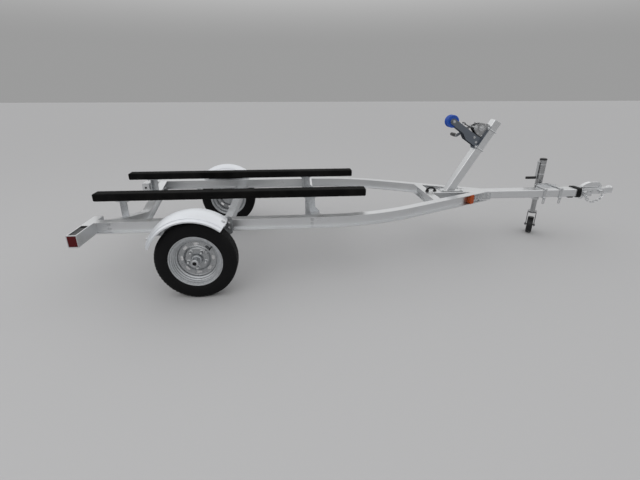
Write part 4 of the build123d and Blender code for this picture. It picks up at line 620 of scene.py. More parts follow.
def tyreShape():
    # A smooth half section from bead to crown, mirrored, turned about the axle, then cut by grooves:
    # the radius drops where the distance to a groove, a sipe or a shoulder notch is under its half width.
    e = tyre
    crown = e["radius"]
    bead = [(44.5, 153.6), (45.9, 162.4), (50.6, 163.8)]
    wall = [(53.4, 169.9), (54.4, 174), (58.2, 186), (60.9, 206), (59.6, 226), (55.5, 242)]
    tread = [(50.6, 251.5), (45, 256), (36, 257.4), (18, crown), (0, crown)]
    half = np.concatenate([bead, smoothLine(wall + tread, 6)])
    section = np.concatenate([half, (half * (-1, 1))[-2::-1]])
    y, r = section.T
    r = np.minimum(r, crown)
    turn = np.linspace(0, 2 * pi, e["steps"], endpoint=False)
    drop = np.zeros((len(y), len(turn)))
    for place in e["grooves"]:
        near = np.clip(e["grooveEdge"] - np.abs(y - place) / (e["grooveWidth"] / 2), 0, 1)
        drop = np.maximum(drop, near[:, None] * e["grooveDepth"])
    zigzag = e["zigzag"] * y / e["zigzagAt"]
    phase = (turn[None, :] * e["blocks"] / (2 * pi) + zigzag[:, None] * 2) % 1
    onTread = (np.abs(y) < e["sipeReach"])[:, None]
    drop = np.maximum(drop, onTread * (phase < e["sipeShare"]) * e["sipeDepth"])
    onShoulder = np.clip(1 - np.abs(np.abs(y) - e["lugPlace"]) / e["lugHalf"], 0, 1)[:, None]
    drop = np.maximum(drop, onShoulder * (phase < e["lugShare"]) * e["lugDepth"])
    proud = np.zeros_like(r)
    for place, height in e["rings"]:
        proud += height * np.exp(-(((r - place) / e["ringHalf"]) ** 2)) * (np.abs(y) > e["ringFrom"])
    radius = r[:, None] - drop
    along = (y + np.sign(y) * proud)[:, None] + 0 * radius
    x, z = radius * np.sin(turn), radius * np.cos(turn) + e["radius"]
    return surface(np.stack([x, along + e["track"], z], axis=-1), closeRows=True)


def makeTyres():
    e = tyre
    stem = turned([(0, 0), (0, 4.6), (14, 4.2), (26, 3.4), (27, 4.3), (35, 4.3), (37, 3), (37, 0)], 16)
    ahead, out, above = e["valve"]
    valve = placed(stem, (ahead, e["track"] + out, e["radius"] + above), e["valveAxis"])
    makePairs(
        ("tread_tyre", [tyreShape()], "tyre_rubber.fine", dict(body="wheel", replaces="tyre", sharp=50)),
        ("valve_stem", [valve], "black_rubber.fine", dict(body="wheel")),
    )


makeTyres()
print("tyres made")

# wheel rims
rim = {
    "face": 6.8,  # mounting face, outboard of the wheel's middle plane
    "sheet": 3,
    "vents": 8,
    "ventShare": 0.40,  # of the angle from one vent to the next
    "ventNarrow": 0.04,  # less in its first and last row
    "ventFrom": 90,
    "ventTo": 108,
    "steps": 192,
    "plug": (812.9, 12.7),  # bottom of the bearing cap's hole, radius of its plug
    "studs": 57.15,  # radius of their circle
    "studTurn": -18,
    "nut": 21,
}


def barrelProfile():
    # Distances outboard and radii: down the visible side in rolled steps, then back along the tyre's side.
    lip = [(56.4, 168.2), (56.6, 164), (53.6, 161.2), (48.6, 159.8), (47.2, 158), (47, 152.2), (46, 150.4)]
    ledges = [(39.6, 149.8), (38.4, 148.6), (37.4, 144.6), (36, 143.4), (29.6, 142.6), (28.2, 141.2)]
    ledges += [(25.8, 136), (24, 134.8), (17.4, 133.4), (15.6, 131.8), (12.8, 126.4), (10, 124.4), (4, 124)]
    well = [(-12, 124), (-20, 125.5), (-28, 134), (-36, 145.5), (-46, 149.5), (-52, 152.5)]
    well += [(-56.4, 161), (-56.8, 167.5)]
    hidden = [(-56.4, 169.3), (-53.8, 169), (-53.4, 160), (-51, 155.6), (-46, 152.6), (-34.5, 149)]
    hidden += [(-25.5, 137), (-18, 129), (-12, 127), (9, 127), (12, 129), (14, 135), (17, 137), (25, 138.4)]
    hidden += [(27.4, 145), (35, 146.6), (37.4, 152), (45, 153), (46.4, 161.6), (51, 163), (53.8, 169)]
    hidden += [(56, 169.3)]
    return np.concatenate([smoothLine(lip + ledges + well, 3), hidden])


def ventedDisc():
    # A dished disc on a polar grid: its height follows the radius by straight steps between the table's rows.
    # Cells inside a vent are left out, fewer in its end rows, and walls join front and back round it.
    e = rim
    radii = [34, 35, 42, 46, 50, 56, 64, 70, 73, 76, 79, 82, 86, 90, 93, 99, 105, 108, 112, 116, 119]
    radii = np.array(radii + [121.5, 123, 123.9])
    # Radius, and height over the mounting face.
    shape = [(34, -1), (35, 0), (46, 1.2), (50, 0), (71, 0), (73, -0.8), (86, -12.6), (90, -14), (108, -13.6)]
    shape += [(112, -13), (119, -12), (121.5, -10), (123, -6), (123.9, 1)]
    knots, heights = np.array(shape).T
    height = np.interp(radii, knots, e["face"] + heights)
    turn = np.linspace(0, 2 * pi, e["steps"], endpoint=False)
    grid = np.broadcast_arrays(radii[:, None] * np.cos(turn), radii[:, None] * np.sin(turn), height[:, None])
    front = np.stack(grid, axis=-1)
    rows, cols = front.shape[:2]
    i, j = np.meshgrid(np.arange(rows - 1), np.arange(cols), indexing="ij")
    phase = np.abs(((j + 0.5) / cols * e["vents"] + 0.5) % 1 - 0.5)
    inside = (radii[:-1] >= e["ventFrom"]) & (radii[1:] <= e["ventTo"])
    edgeRow = (radii[:-1] == e["ventFrom"]) | (radii[1:] == e["ventTo"])
    holes = inside[:, None] & (phase < (e["ventShare"] / 2 - e["ventNarrow"] * edgeRow[:, None]))
    points = np.concatenate([front.reshape(-1, 3), front.reshape(-1, 3) - (0, 0, e["sheet"])])

    def at(row, col):
        return row * cols + col % cols

    quads = np.stack([at(i, j), at(i, j + 1), at(i + 1, j + 1), at(i + 1, j)], axis=-1)[~holes]
    padded = np.pad(~holes, ((1, 1), (0, 0)))
    r, c = np.nonzero(padded[1:] != padded[:-1])
    rings = np.stack([at(r, c), at(r, c + 1)], axis=-1)
    r, c = np.nonzero(holes != np.roll(holes, -1, 1))
    spokes = np.stack([at(r, c + 1), at(r + 1, c + 1)], axis=-1)
    edges = np.concatenate([rings, spokes])
    rear = rows * cols
    walls = np.stack([edges[:, 0], edges[:, 1], edges[:, 1] + rear, edges[:, 0] + rear], axis=-1)
    return points, np.concatenate([quads, quads + rear, walls])


def hexRing(flat, steps=24):
    # Radius of a hexagon at each angle: its flat's distance divided by the cosine to the flat's middle.
    turn = np.linspace(0, 2 * pi, steps, endpoint=False)
    return flat / 2 / np.cos((turn + pi / 6) % (pi / 3) - pi / 6)


def acornShape(flat):
    # A flanged hexagon that closes in a dome.
    six = hexRing(flat)
    rings = [(0, 0), (14, 0), (13.6, 2), (six, 3.4), (six, 15), (np.minimum(six, flat * 0.48), 16.5)]
    return ringed(rings + [(9.6, 18), (9.4, 24), (8.2, 27), (5.4, 29), (0, 29.8)])


def makeRims():
    # Barrel turned about the axle, the dished disc inside it, and a rubber plug in the bearing cap.
    e = rim
    centre = (0, tyre["track"], tyre["radius"])
    barrel = turned(barrelProfile(), e["steps"], centre, leftward, closed=True)
    disc = placed(ventedDisc(), centre, leftward)
    bottom, radius = e["plug"]
    profile = [(0, 0), (0, radius), (5, radius), (6.4, radius - 1.4), (6.4, 9), (3.6, 7.6), (2.8, 0)]
    plug = turned(profile, 40, (0, bottom, tyre["radius"]), leftward)
    face = tyre["track"] + e["face"] + 0.1
    nuts = []
    for a in np.radians(e["studTurn"] + 72 * np.arange(5)):
        place = (e["studs"] * cos(a), face, tyre["radius"] + e["studs"] * sin(a))
        nuts.append(placed(acornShape(e["nut"]), place, leftward))
    makePairs(
        ("dished_rim", [disc], "galvanised_steel.rim", dict(body="wheel", replaces="wheel_rim", sharp=40)),
        ("rim_barrel", [barrel], "galvanised_steel.fine", dict(body="wheel", sharp=40)),
        ("cap_plug", [plug], "black_rubber.fine", dict(body="wheel")),
        ("wheel_nuts", nuts, "zinc_plate.fine", dict(body="wheel")),
    )


makeRims()
print("rims made")

# bunks
bunk = {
    "rear": -748,
    "length": 1900,
    "y": 326.5,
    "width": 95,
    "bottom": 544,
    "height": 53,
    "corner": 10,
    "end": 8,  # rounding of the carpet folded over each end
    "step": 5,  # between rows along the bunk
    "fuzz": 0.55,
    "staple": (11, 1.1, 0.9),
    "staples": (40, 1870, 75),  # first, end and step along the bunk
    "stapleAside": 24,
    "stapleSunk": 0.6,
    "posts": (-559.6, 746),  # stations
    "postPlate": 5,
    "screws": (34, 22),  # along and across a post's plate, from its middle
}


def bunkShape(sign):
    # A rounded rectangle carried along the bunk; at each end it shrinks along a quarter circle.
    # Every point then moves outwards by a little smoothed noise.
    b = bunk
    end, length = b["end"], b["length"]
    near = end * (1 - np.cos(np.linspace(0, pi / 2, 6)))
    x = np.concatenate([near, np.arange(end + b["step"], length - end, b["step"]), length - near[::-1]])
    short = np.clip(end - np.minimum(x, length - x), 0, None)
    inset = end - (end**2 - short**2) ** 0.5
    flat = roundedOutline(b["width"], b["height"], b["corner"], 7)
    # Straight sides get points of their own, so that the noise moves them too.
    spans = []
    for p, q in zip(flat, np.roll(flat, -1, 0)):
        spans.append(np.linspace(p, q, max(1, int(hypot(*(q - p)) / b["step"])), endpoint=False))
    flat = np.concatenate(spans)
    outward = unit(flat / (b["width"] / 2, b["height"] / 2))
    rings = np.zeros((len(x), len(flat), 3))
    rings[..., 0] = (b["rear"] + x)[:, None]
    rings[..., 1] = flat[None, :, 0] * (1 - 2 * inset / b["width"])[:, None]
    rings[..., 2] = flat[None, :, 1] * (1 - 2 * inset / b["height"])[:, None] + b["bottom"] + b["height"] / 2
    fuzz = rng.normal(0, 1, rings.shape[:2])
    fuzz = (fuzz + np.roll(fuzz, 1, 0) + np.roll(fuzz, 1, 1)) / 3 * b["fuzz"]
    rings[..., 1:] += fuzz[..., None] * outward[None]
    rings[..., 1] += sign * b["y"]
    caps = []
    for ring in (rings[0], rings[-1]):
        middle = ring.mean(0)
        caps.append(np.array([middle + (ring - middle) * share for share in (0, 0.4, 0.8)]))
    return surface(np.concatenate([caps[0], rings, caps[1][::-1]]))


def makeBunks():
    # Carpet wrapped on the board, with a row of staples below each edge of the wrap.
    b = bunk
    long, wide, tall = b["staple"]
    levels = [(long, wide, 0.5, 0.0), (long, wide, 0.5, tall)]
    staple = stacked(levels, (0, 0, 0), forward, leftward, upward, 3)
    for side, sign in sides:
        makePiece("carpeted_bunk_" + side, [bunkShape(sign)], "carpet", replaces=["bunk_" + side], sharp=60)
        staples = []
        for along in np.arange(*b["staples"]):
            for across in (-b["stapleAside"], b["stapleAside"]):
                place = (b["rear"] + along, sign * b["y"] + across, b["bottom"] + b["stapleSunk"])
                staples.append(placed(staple, place, downward, 0.3 * sin(along)))
        makePiece("bunk_staples_" + side, staples, "zinc_plate.fine")


makeBunks()
print("bunks made")

# lamps and markers
lamp = {
    "rear": -716,
    "outer": 824,
    "length": 150,
    "wall": 4,
    "depth": 60,
    "lens": 4,
    "play": 0.8,
    "screws": 52,  # from the middle of the lens
    "bolts": (416, 446),  # heights
}
marker = {
    "width": 46,
    "height": 74,
    "corner": 10,
    "foot": (42, 61),  # between the rail's flanges
    "edge": 31.2,  # from the web out to the flanges' edge
    "proud": 37,
    "mid": 430.9,  # height of its middle
    "ahead": 7,
    "grommet": 46,  # its place on the web
    "boxDepth": 19,  # of the box that is replaced
}


def roundScrew(radius):
    # Low round head with a shallow dip, 0.55 of its radius high.
    h = radius * 0.55
    dip = [(h * 0.7, 0), (h * 0.7, radius * 0.25), (h, radius * 0.4)]
    return turned(dip + [(h * 0.8, radius * 0.8), (0, radius), (0, 0)], 14)


def makeLamps():
    # Black housing inside the light tube, with a red lens that shows at the rear and at the outer end.
    e = lamp
    middle = (rail["low"] + rail["high"]) / 2
    rear = e["rear"] + e["wall"]
    deep = e["depth"] - 2 * e["wall"] - e["play"]
    tall = rail["high"] - rail["low"] - 2 * e["wall"] - e["play"]
    x = e["rear"] + e["depth"] / 2
    inner = e["outer"] - e["length"]
    levels = [(deep - 4, tall - 4, 3, 0), (deep, tall, 3, 2), (deep, tall, 3, e["length"] - 12)]
    housing = stacked(levels, (x, inner, middle), forward, upward, leftward)
    wide, high = e["length"] - 19, tall - 10.6
    y = inner + (e["length"] + 0.4) / 2
    levels = [(wide, high, 3, 0.5), (wide, high, 3, -e["wall"] - 2)]
    levels += [(wide - 2, high - 2, 2.5, -e["wall"] - e["lens"] + 0.1)]
    window = stacked(levels, (rear, y, middle), leftward, upward, forward)
    levels = [(deep - 1.5, tall - 1.5, 3, -13), (deep - 1.5, tall - 1.5, 3, 0), (deep - 4, tall - 4, 3, 2)]
    end = stacked(levels, (x, e["outer"], middle), forward, upward, leftward)
    head = roundScrew(3.4)
    x = rear - e["wall"] - 3.2
    screws = [placed(head, (x, y + a, middle), backward) for a in (-e["screws"], e["screws"])]
    makePairs(
        ("lamp_lens", [window, end], "red_lens", dict(replaces="tail_lamp")),
        ("lamp_housing", [housing], "black_plastic.fine", {}),
        ("lamp_screws", screws, "zinc_plate.fine", {}),
    )


def makeMarkers():
    # A thin rubber pad on the web, then a lens that fills the space between the flanges and widens in steps
    # outside them, and the boot of its wires.
    m = marker
    turn = radians(rail["turn"])
    normal = np.array((sin(turn), cos(turn), 0))
    along = np.array((cos(turn), -sin(turn), 0))
    web = boxOf("side_marker_left").mean(0) - normal * m["boxDepth"] / 2
    web[2] = m["mid"]
    boot = [(0.2, 0), (0.2, 6.5), (3, 6.5), (5, 5.4), (20, 4.8), (25, 4.2), (26, 3), (26, 0)]
    boot = turned(boot, 24, web + along * m["grommet"] + (0, 0, 6), normal)
    w, h, c, proud, edge = m["width"], m["height"], m["corner"], m["proud"], m["edge"]
    long, tall = m["foot"]
    pad = [(long + 3, tall + 3, 6, 0.2), (long + 3, tall + 3, 6, 2.4), (long + 1, tall + 1, 5, 3)]
    lens = [(long, tall, 5, 2), (long, tall, 5, edge), (w, h, c, edge), (w, h, c, proud - 3)]
    lens += [(w - 3, h - 3, c - 1.5, proud - 1), (w - 12, h - 12, c - 6, proud - 0.2)]
    lens += [(w - 26, h - 30, 3, proud)]
    pad, lens = (stacked(levels, web + along * m["ahead"], along, upward, normal) for levels in (pad, lens))
    makePairs(
        ("marker_surround", [pad, boot], "black_rubber.fine", {}),
        ("marker_lens", [lens], "amber_lens", dict(replaces="side_marker")),
    )


makeLamps()
makeMarkers()
print("lamps and markers made")

# winch stand: a plane of its own, s up the leaning post and d behind it
stand = {"setback": 158, "lean": 30, "foot": 490}
roller = {"s": 440, "d": 312, "radius": 48, "waist": 35, "half": 28, "bore": 6.7, "steps": 96}
strap = {
    "s": 512,
    "d": 84,
    "roll": 27,
    "core": 8.6,
    "turns": 6,  # between the core and the roll
    "shown": 5.6,  # turns, counted from outside
    "half": 20,
    "sheet": 1.5,
    "bar": (478, 220),
    "barRadius": 3.5,
    "barGap": 0.4,
    "fold": (16, 52),  # where the folded end starts and stops, from the bar
    "foldGap": 0.25,
    "wrap": 1.12,  # half turns round the bar
}


def standPlace(s, d, y):
    # Along the post and behind it, as arrays; the foot lies ahead of the tongue's rear end.
    lean = radians(stand["lean"])
    s, d, y = np.broadcast_arrays(*(np.asarray(a, float) for a in (s, d, y)))
    x = boxOf("tongue")[0][0] + stand["setback"] + s * sin(lean) - d * cos(lean)
    z = stand["foot"] + s * cos(lean) + d * sin(lean)
    return np.stack([x, y, z], axis=-1)


def makeRoller():
    # A soft V: the radius falls from the shoulders to the waist in a smooth curve.
    e = roller
    edge = e["half"] - 0.4
    shoulder = [(edge, 43.5), (e["half"] - 1.5, 46.5), (23.5, e["radius"] - 0.1), (18, 46.6), (10, 39.5)]
    half = smoothLine(shoulder + [(4, e["waist"] + 0.8), (0, e["waist"])], 5)
    rings = np.concatenate([half, (half * (-1, 1))[-2::-1]])
    face = e["half"] - 2.5
    ends = [(face, e["bore"]), (face, 13), (edge, 15), (edge, 20), (face, 23), (face, 38)]
    profile = np.concatenate([ends, rings, [(-a, r) for a, r in ends[::-1]]])
    shape = turned(profile, e["steps"], standPlace(e["s"], e["d"], 0), leftward, closed=True)
    makePiece("keel_roller", [shape], "blue_urethane.fine", "bow_roller", ["bow_roller"])


def strapLine():
    # The band's middle line winds out in an even spiral, whose radius grows with its angle, leaves it on a
    # tangent, runs half round the hook's bar and folds back.
    e = strap
    step = (e["roll"] - e["core"]) / e["turns"]
    bar = np.array(e["bar"], float)
    axis = np.array((e["s"], e["d"]), float)
    outer = e["roll"] - e["sheet"] / 2
    span = bar - axis
    leave = atan2(span[1], span[0]) + acos(outer / hypot(*span))
    turn = np.linspace(leave - 2 * pi * e["shown"], leave, 300)
    radius = outer - step * (leave - turn) / (2 * pi)
    spiral = axis + radius[:, None] * arcPoints(turn)
    heading = unit(bar - spiral[-1])
    start = atan2(heading[0], -heading[1])
    loopRadius = e["barRadius"] + e["barGap"] + e["sheet"] / 2
    loop = bar + loopRadius * arcPoints(np.linspace(start, start - pi * e["wrap"], 24))
    run = np.linspace(spiral[-1], loop[0], 14)[1:-1]
    home = unit(spiral[-1] - bar)
    side = np.array((home[1], -home[0]))
    if np.dot(loop[-1] - bar, side) <= 0:
        side = -side
    fold = loop[0] + side * (e["sheet"] + e["foldGap"])
    near, far = e["fold"]
    return np.concatenate([spiral, run, loop, np.linspace(fold + home * near, fold + home * far, 8)])


def makeStrap():
    # A flat section carried along the line; the UV map runs along the band and across it, in metres.
    e = strap
    line = strapLine()
    tangent = unit(np.gradient(line, axis=0))
    normal = np.stack([-tangent[:, 1], tangent[:, 0]], axis=-1) * e["sheet"] / 2
    across = np.array((-1, -0.5, 0, 0.5, 1, 1, 0.5, 0, -0.5, -1)) * e["half"]
    lift = np.array((1, 1, 1, 1, 1, -1, -1, -1, -1, -1))
    flat = line[:, None, :] + normal[:, None, :] * lift[None, :, None]
    points = standPlace(flat[..., 0], flat[..., 1], across[None, :])
    along = np.concatenate([[0], np.cumsum(np.linalg.norm(np.diff(line, axis=0), axis=1))]) / 1000
    uv = np.stack(np.broadcast_arrays(along[:, None], across[None, :] / 1000), axis=-1).reshape(-1, 2)
    uv = np.concatenate([uv[: len(across)], uv, uv[-len(across):]])
    band = surface(capped(points))
    makePiece("strap_band", [band], "black_webbing", replaces=["winch_strap"], uv=uv)


makeRoller()
makeStrap()
print("roller and strap made")

# safety chains
chain = {
    "wire": 7,
    "length": 45,
    "width": 28,
    "count": 8,
    "play": 1,
    "start": -82,  # slope of the first link
    "turn": 20,
    "bolt": (3090, 446, 5),  # station, height and radius of the bolt that carries it
    "hookWire": 6,
    "lower": 11,
    "leg": 34,
    "step": 45,  # from corner to corner of the solid's hook, whose bend round the bolt this follows
    "gap": 0.3,
    "hookPlay": 0.7,
    "sides": 12,  # of a wire's section
}


def chainLinks(y):
    # Each link is a stadium swept by its wire. The links stand from contact point to contact point, every
    # other one turned on edge. Gives the links, the place where the last one ends and its slope.
    e = chain
    half = (e["length"] - e["width"]) / 2
    bend = (e["width"] - e["wire"]) / 2
    inner = e["width"] / 2 - e["wire"]
    room = 2 * (half + inner * cos(radians(30)))
    end = (half, 0) + bend * arcPoints(np.linspace(-pi / 2, pi / 2, 13))
    flat = np.concatenate([end, -end])
    station, height, radius = e["bolt"]
    slopes = np.radians(e["start"] + e["turn"] * np.arange(e["count"]))
    first = np.array((cos(slopes[0]), 0, sin(slopes[0])))
    place = np.array((station, y, height)) - (radius + e["gap"]) * first
    out = np.array((0.0, 1.0, 0.0))
    links = []
    for i, slope in enumerate(slopes):
        along = np.array((cos(slope), 0, sin(slope)))
        below = np.array((-sin(slope), 0, cos(slope)))
        wide, normal = (below, out) if i % 2 == 0 else (out, below)
        path = place + along * room / 2 + flat[:, :1] * along + flat[:, 1:] * wide
        links.append(swept(path, e["wire"] / 2, e["sides"], normal, closed=True))
        place = place + (room - e["play"]) * along
    return links, place[[0, 2]], slopes[-1]


def makeChains():
    # An S-hook carries the last link up to its own bolt.
    e = chain
    y = boxOf("safety_chain_left")[:, 1].mean()
    links, end, slope = chainLinks(y)
    reach = e["lower"] - e["hookWire"] / 2 - e["hookPlay"]
    lower = end + reach * np.array((cos(slope), sin(slope)))
    upperRadius = (e["bolt"][2] + e["gap"] + e["hookWire"] / 2) / cos(radians(e["step"] / 2))
    upper = lower + (-e["lower"] - upperRadius, e["leg"])
    top = upper + upperRadius * arcPoints(np.radians(np.linspace(205, 0, 20)))
    low = lower + e["lower"] * arcPoints(np.radians(np.linspace(180, 360, 20)))
    line = np.concatenate([top, low])
    line = np.stack([line[:, 0], np.full(len(line), y), line[:, 1]], axis=-1)
    hook = swept(line, e["hookWire"] / 2, e["sides"], leftward)
    makePairs(("chain_links", links + [hook], "zinc_plate.bright", dict(replaces="safety_chain")))


makeChains()
print("chains made")

# jack
jack = {
    "place": (2820, 172),
    "tube": 28.5,
    "top": 690,
    "bands": ((330, 16, 30.4), (556, 9, 29.8), (640, 6, 29.6)),  # height, width and radius
    "clamps": (2742, 2882),
    "bar": (22, 5, 352, 486),  # width, thickness, lowest and highest point
    "slot": (8, 34, 372),  # width, length and height of the middle
    "boltHeights": (477.3, 403.2),
    "boltEnds": (-56, 57),
    "boltRadius": 5,
    "side": 50.8,  # of the tongue
    "mount": 6.1,  # from the tongue's side to the mount's outer face
    "knob": (2880, 95, 466),
}


def makeJack():
    # Slotted clamp bars on long bolts, bands and a cap on the jack's tube, and the knob of its lock pin.
    e = jack
    width, sheet, low, high = e["bar"]
    slotWidth, slotLength, slotAt = e["slot"]
    middle = (low + high) / 2
    outer = roundedOutline(width, high - low, width / 2 - 0.1, 10)
    inner = roundedOutline(slotWidth, slotLength, slotWidth / 2 - 0.1, 10) + (0, slotAt - middle)
    start, end = e["boltEnds"]
    r = e["boltRadius"]
    shank = [(0, 0), (0, r), (end - start, r), (end - start, 0)]
    shapes = []
    for x in e["clamps"]:
        shapes.append(windowed(outer, inner, (x, -e["side"], middle), forward, upward, rightward, sheet))
        for z in e["boltHeights"]:
            shapes.append(turned(shank, 20, (x, start, z), leftward))
    makePiece("clamp_bars", shapes, "zinc_plate.fine", replaces=["jack_clamps"])
    x, y = e["place"]
    tube = e["tube"]
    rings = []
    for z, w, r in e["bands"]:
        band = [(0, tube - 1), (0, r - 0.8), (1, r), (w - 1, r), (w, r - 0.8), (w, tube - 1)]
        rings.append(turned(band, 64, (x, y, z), closed=True))
    makePiece("jack_bands", rings, "zinc_plate.fine", "jack_body")
    cap = [(-8, 0), (-8, tube + 0.5), (-7, tube + 1.2), (2, tube + 1.2), (5, tube - 2), (7, tube - 10)]
    cap = turned(cap + [(7.6, 0)], 64, (x, y, e["top"]))
    makePiece("jack_cap", [cap], "black_plastic.fine", "jack_body")
    knob = [(0, 0), (0, 7), (2, 11.6), (5, 12.6), (10, 12.6), (13, 10), (14, 5), (14, 0)]
    makePiece("lock_knob", [turned(knob, 32, e["knob"], rightward)], "black_plastic.fine")


makeJack()
print("jack details made")


# fasteners
def hexShape(flat, height, washer, stud):
    # Washer, hexagon with a turned chamfer, and the bolt's end above a nut, ring on ring.
    six = hexRing(flat)
    thick = 1.6 if washer else 0
    top = thick + height
    rings = [(0, 0)]
    if washer:
        rings += [(flat * 0.92, 0), (flat * 0.92, thick * 0.8), (flat * 0.88, thick)]
    rings += [(six, thick), (six, top - flat * 0.07), (np.minimum(six, flat * 0.47), top)]
    if stud:
        rings += [(flat * 0.29, top), (flat * 0.29, top + stud - 1), (flat * 0.24, top + stud)]
    return ringed(rings + [(0, rings[-1][1])])


def domeShape(radius, height):
    # Low dome: the radius shrinks as the cosine while the height grows as the sine.
    profile = arcPoints(np.linspace(0, pi / 2, 7))[:, ::-1] * (height, radius)
    return turned(np.concatenate([[(0, 0)], profile]), 20)


# Flat to flat, height, washer, and how far the bolt's end stands out.
bolt = hexShape(14, 6, True, 0)
nut = hexShape(14, 8, True, 5)
smallBolt = hexShape(10, 4.5, True, 0)
clampNut = hexShape(19.5, 8.6, False, 6)
fenderBolt = hexShape(15, 5.5, True, 0)
chainBolt = hexShape(20, 6, False, 0)
strapNut = hexShape(15, 8, False, 1.5)
rollerNut = hexShape(19, 8, False, 0)
drumNut = hexShape(24, 4, True, 2)
crankNut = hexShape(17, 5, True, 2)
rivet = domeShape(5, 2.2)


crossing = {
    "stations": (-550, 778),
    "clip": 5,
    "apart": 15,  # half the distance between its bolts
    "onRail": 22,  # from the clip along the rail, and from the rail's middle along the beam
    "onBeam": 55,
}


def frameBolts():
    # Cross members: through the rail's web and through the clip, with nuts on the far faces.
    c = crossing
    face = rail["y"] + rail["web"] / 2
    middle = (rail["low"] + rail["high"]) / 2
    onBeam = rail["y"] - c["onBeam"]
    places = []
    for x in c["stations"]:
        clip = x - rail["web"] / 2 - c["clip"]
        onRail = clip - c["onRail"]
        for z in (middle - c["apart"], middle + c["apart"]):
            places.append((bolt, (onRail, face, z), leftward, 0.2))
            places.append((nut, (onRail, face - rail["web"] - c["clip"], z), rightward, 0.4))
            places.append((bolt, (clip, onBeam, z), backward, 0.1))
            places.append((nut, (x + rail["web"] / 2, onBeam, z), forward, 0.5))
    return places


axle = {
    "x": 150,
    "seat": 386.8,  # height of the flanges' lower face
    "along": 50,  # half the distances between the bolts
    "aside": 17,
}


def axleBolts():
    # Saddle flanges: heads below, nuts on the rail's lower flange.
    a = axle
    places = []
    for x in (a["x"] - a["along"], a["x"] + a["along"]):
        for y in (rail["y"] - a["aside"], rail["y"] + a["aside"]):
            places.append((bolt, (x, y, a["seat"]), downward, 0.3))
            places.append((nut, (x, y, rail["low"] + rail["flange"]), upward, 0.0))
    return places


fender = {
    "inner": 612,  # how far aside its edges lie
    "outer": 850,
    "edge": 289,  # radius of its edges about the wheel's centre
    "crown": 33,
    "angles": (53, 151),
    "rows": (655, 765),
    "upright": 0.97,  # of a bolt's axis, in the wheel's plane
    "plates": (192, -252.8),  # stations
    "plate": 607.75,  # how far aside its outer face lies
    "plateHeights": (412, 446),
}


def fenderBolts():
    # Two through each bracket plate, and two that follow the fender's crown above each strap.
    f = fender
    places = [(bolt, (x, f["plate"], z), leftward, 0.15) for x in f["plates"] for z in f["plateHeights"]]
    chord = (f["outer"] - f["inner"]) / 2
    curve = (chord**2 + f["crown"] ** 2) / (2 * f["crown"])
    for angle in np.radians(f["angles"]):
        for y in f["rows"]:
            off = y - (f["inner"] + f["outer"]) / 2
            radius = f["edge"] + f["crown"] - curve + (curve**2 - off**2) ** 0.5
            place = (radius * cos(angle), y, tyre["radius"] + radius * sin(angle))
            axis = (cos(angle) * f["upright"], off / curve, sin(angle) * f["upright"])
            places.append((fenderBolt, place, axis, 0.2))
    return places


joint = {
    "end": 92,  # from the plates' front end back to the corner
    "onRail": (34, 70),  # distances from the corner
    "onTongue": (28, 68),
    "heights": (419, 443),
    "sheet": 5,
}


def tongueBolts():
    # Joint plates: bolts along the bent rail and along the tongue.
    j = joint
    turn = radians(rail["turn"])
    side = boxOf("tongue")[1][1]
    corner = boxOf("tongue_joint_plates")[1][0] - j["end"]
    places = []
    for z in j["heights"]:
        for along in j["onTongue"]:
            places.append((bolt, (corner + along, side + j["sheet"], z), leftward, 0.1))
        for along in j["onRail"]:
            x = corner - along * cos(turn) + j["sheet"] * sin(turn)
            y = side + along * sin(turn) + j["sheet"] * cos(turn)
            places.append((bolt, (x, y, z), (sin(turn), cos(turn), 0), 0.1))
    return places


def bunkScrews():
    # Up through each post's plate into the bunk.
    b = bunk
    along, aside = b["screws"]
    places = []
    for x in b["posts"]:
        for a in (-along, along):
            for c in (-aside, aside):
                places.append((smallBolt, (x + a, b["y"] + c, b["bottom"] - b["postPlate"]), downward, 0.4))
    return places


def lampBolts():
    return [(bolt, (lamp["rear"], rail["y"], z), backward, 0.2) for z in lamp["bolts"]]


# places on the stand's plane, s and d, then the distance aside of its middle
winch = {
    "baseBolts": (14, 34),  # in from the plate's ends, aside of its middle
    "clamps": (377, 539),
    "washer": (36.85, 47),
    "strapNut": (39.65, 43.15),
    "rollerNut": 47.8,
    "drumNut": 37.2,
    "pawl": (523.9, 122.7, 38.6),
    "crank": (493.9, 126.7, -33.2),
    "cheek": 33,
    "rivets": ((466, 48), (550, 48), (466, 84), (546, 70)),
    "bracket": 38,
    "bracketBolts": ((404, 58), (428, 92)),
}


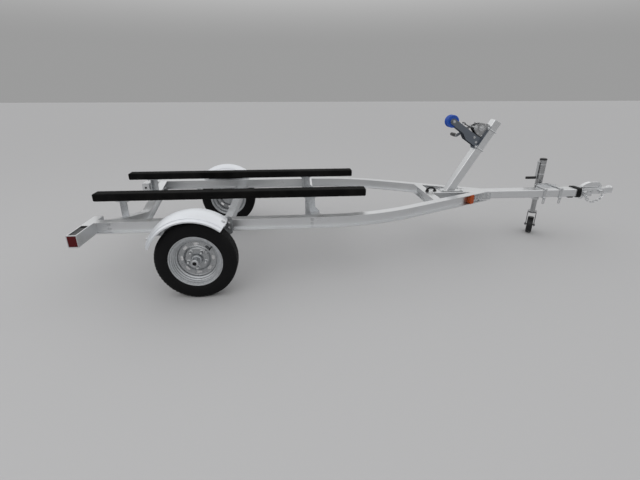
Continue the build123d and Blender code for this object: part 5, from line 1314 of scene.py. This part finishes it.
def standBolts():
    # Base plate bolts, the U-bolts' washers and nuts, and the winch's own bolts and rivets.
    e = winch
    box = boxOf("winch_post_base")
    inset, aside = e["baseBolts"]
    shapes = []
    for x in (box[0][0] + inset, box[1][0] - inset):
        for y in (-aside, aside):
            shapes.append(placed(bolt, (x, y, box[1][2]), upward, 0.2))
    up = standPlace(1, 0, 0) - standPlace(0, 0, 0)
    behind = standPlace(0, 1, 0) - standPlace(0, 0, 0)
    washer = [(17, 32, 1.5, 0), (17, 32, 1.5, 2.2), (15.6, 30.6, 1, 2.8)]
    ring = [(0, 14.5), (0, 21), (1.6, 19.6), (1.6, 16)]
    drum = (strap["s"], strap["d"])
    for sign in (-1, 1):
        for s in e["clamps"]:
            (washerAt, washerOut), (nutAt, nutOut) = e["washer"], e["strapNut"]
            place = standPlace(s, washerAt, sign * washerOut)
            shapes.append(stacked(washer, place, leftward, up, behind, 3))
            shapes.append(placed(strapNut, standPlace(s, nutAt, sign * nutOut), behind, 0.2))
        out = (0, sign, 0)
        places = [(rollerNut, (roller["s"], roller["d"]), e["rollerNut"], 0.2)]
        places += [(drumNut, drum, e["drumNut"], 0.1)]
        places += [(rivet, place, e["cheek"], 0.0) for place in e["rivets"]]
        places += [(smallBolt, place, e["bracket"], 0.3) for place in e["bracketBolts"]]
        shapes += [placed(shape, standPlace(*place, sign * y), out, turn) for shape, place, y, turn in places]
        shapes.append(turned(ring, 48, standPlace(*drum, sign * e["cheek"]), out, closed=True))
    shapes.append(placed(smallBolt, standPlace(*e["pawl"]), leftward, 0.1))
    shapes.append(placed(crankNut, standPlace(*e["crank"]), rightward, 0.3))
    return shapes


def jackBolts():
    # Nuts on the clamp bolts at both ends.
    e = jack
    shapes = []
    for x in e["clamps"]:
        for z in e["boltHeights"]:
            shapes.append(placed(clampNut, (x, -e["side"] - e["bar"][1], z), rightward, 0.3))
            shapes.append(placed(clampNut, (x, e["side"] + e["mount"], z), leftward, 0.1))
    return shapes


coupler = {
    "sheet": 4.5,
    "bolts": (3118, 3150),
    "boltHeight": 455,
    "pins": ((3090, 446), (3229.5, 458.4)),
    "head": 19.6,  # from the coupler's side out to the pins' heads
}


def couplerBolts():
    # Through the coupler's sides behind the taper, and the heads of the chains' bolt and the latch's pin.
    e = coupler
    side = boxOf("tongue")[1][1] + chain["gap"] + e["sheet"]
    places = [(bolt, (x, side, e["boltHeight"]), leftward, 0.1) for x in e["bolts"]]
    return places + [(chainBolt, (x, side + e["head"], z), leftward, 0.2) for x, z in e["pins"]]


def pairUp(places):
    # What is placed on the left is repeated on the right.
    shapes = [placed(*place) for place in places]
    return shapes + [mirrored(shape) for shape in shapes]


def makeFasteners():
    groups = {
        "frame_bolts": pairUp(frameBolts() + axleBolts() + lampBolts()),
        "fender_fixings": pairUp(fenderBolts()),
        "tongue_bolts": pairUp(tongueBolts()),
        "bunk_screws": pairUp(bunkScrews()),
        "stand_bolts": standBolts(),
        "jack_nuts": jackBolts(),
        "coupler_bolts": pairUp(couplerBolts()),
    }
    for name, shapes in groups.items():
        makePiece(name, shapes, "zinc_plate.fine", sharp=30)


makeFasteners()
print("fasteners made")
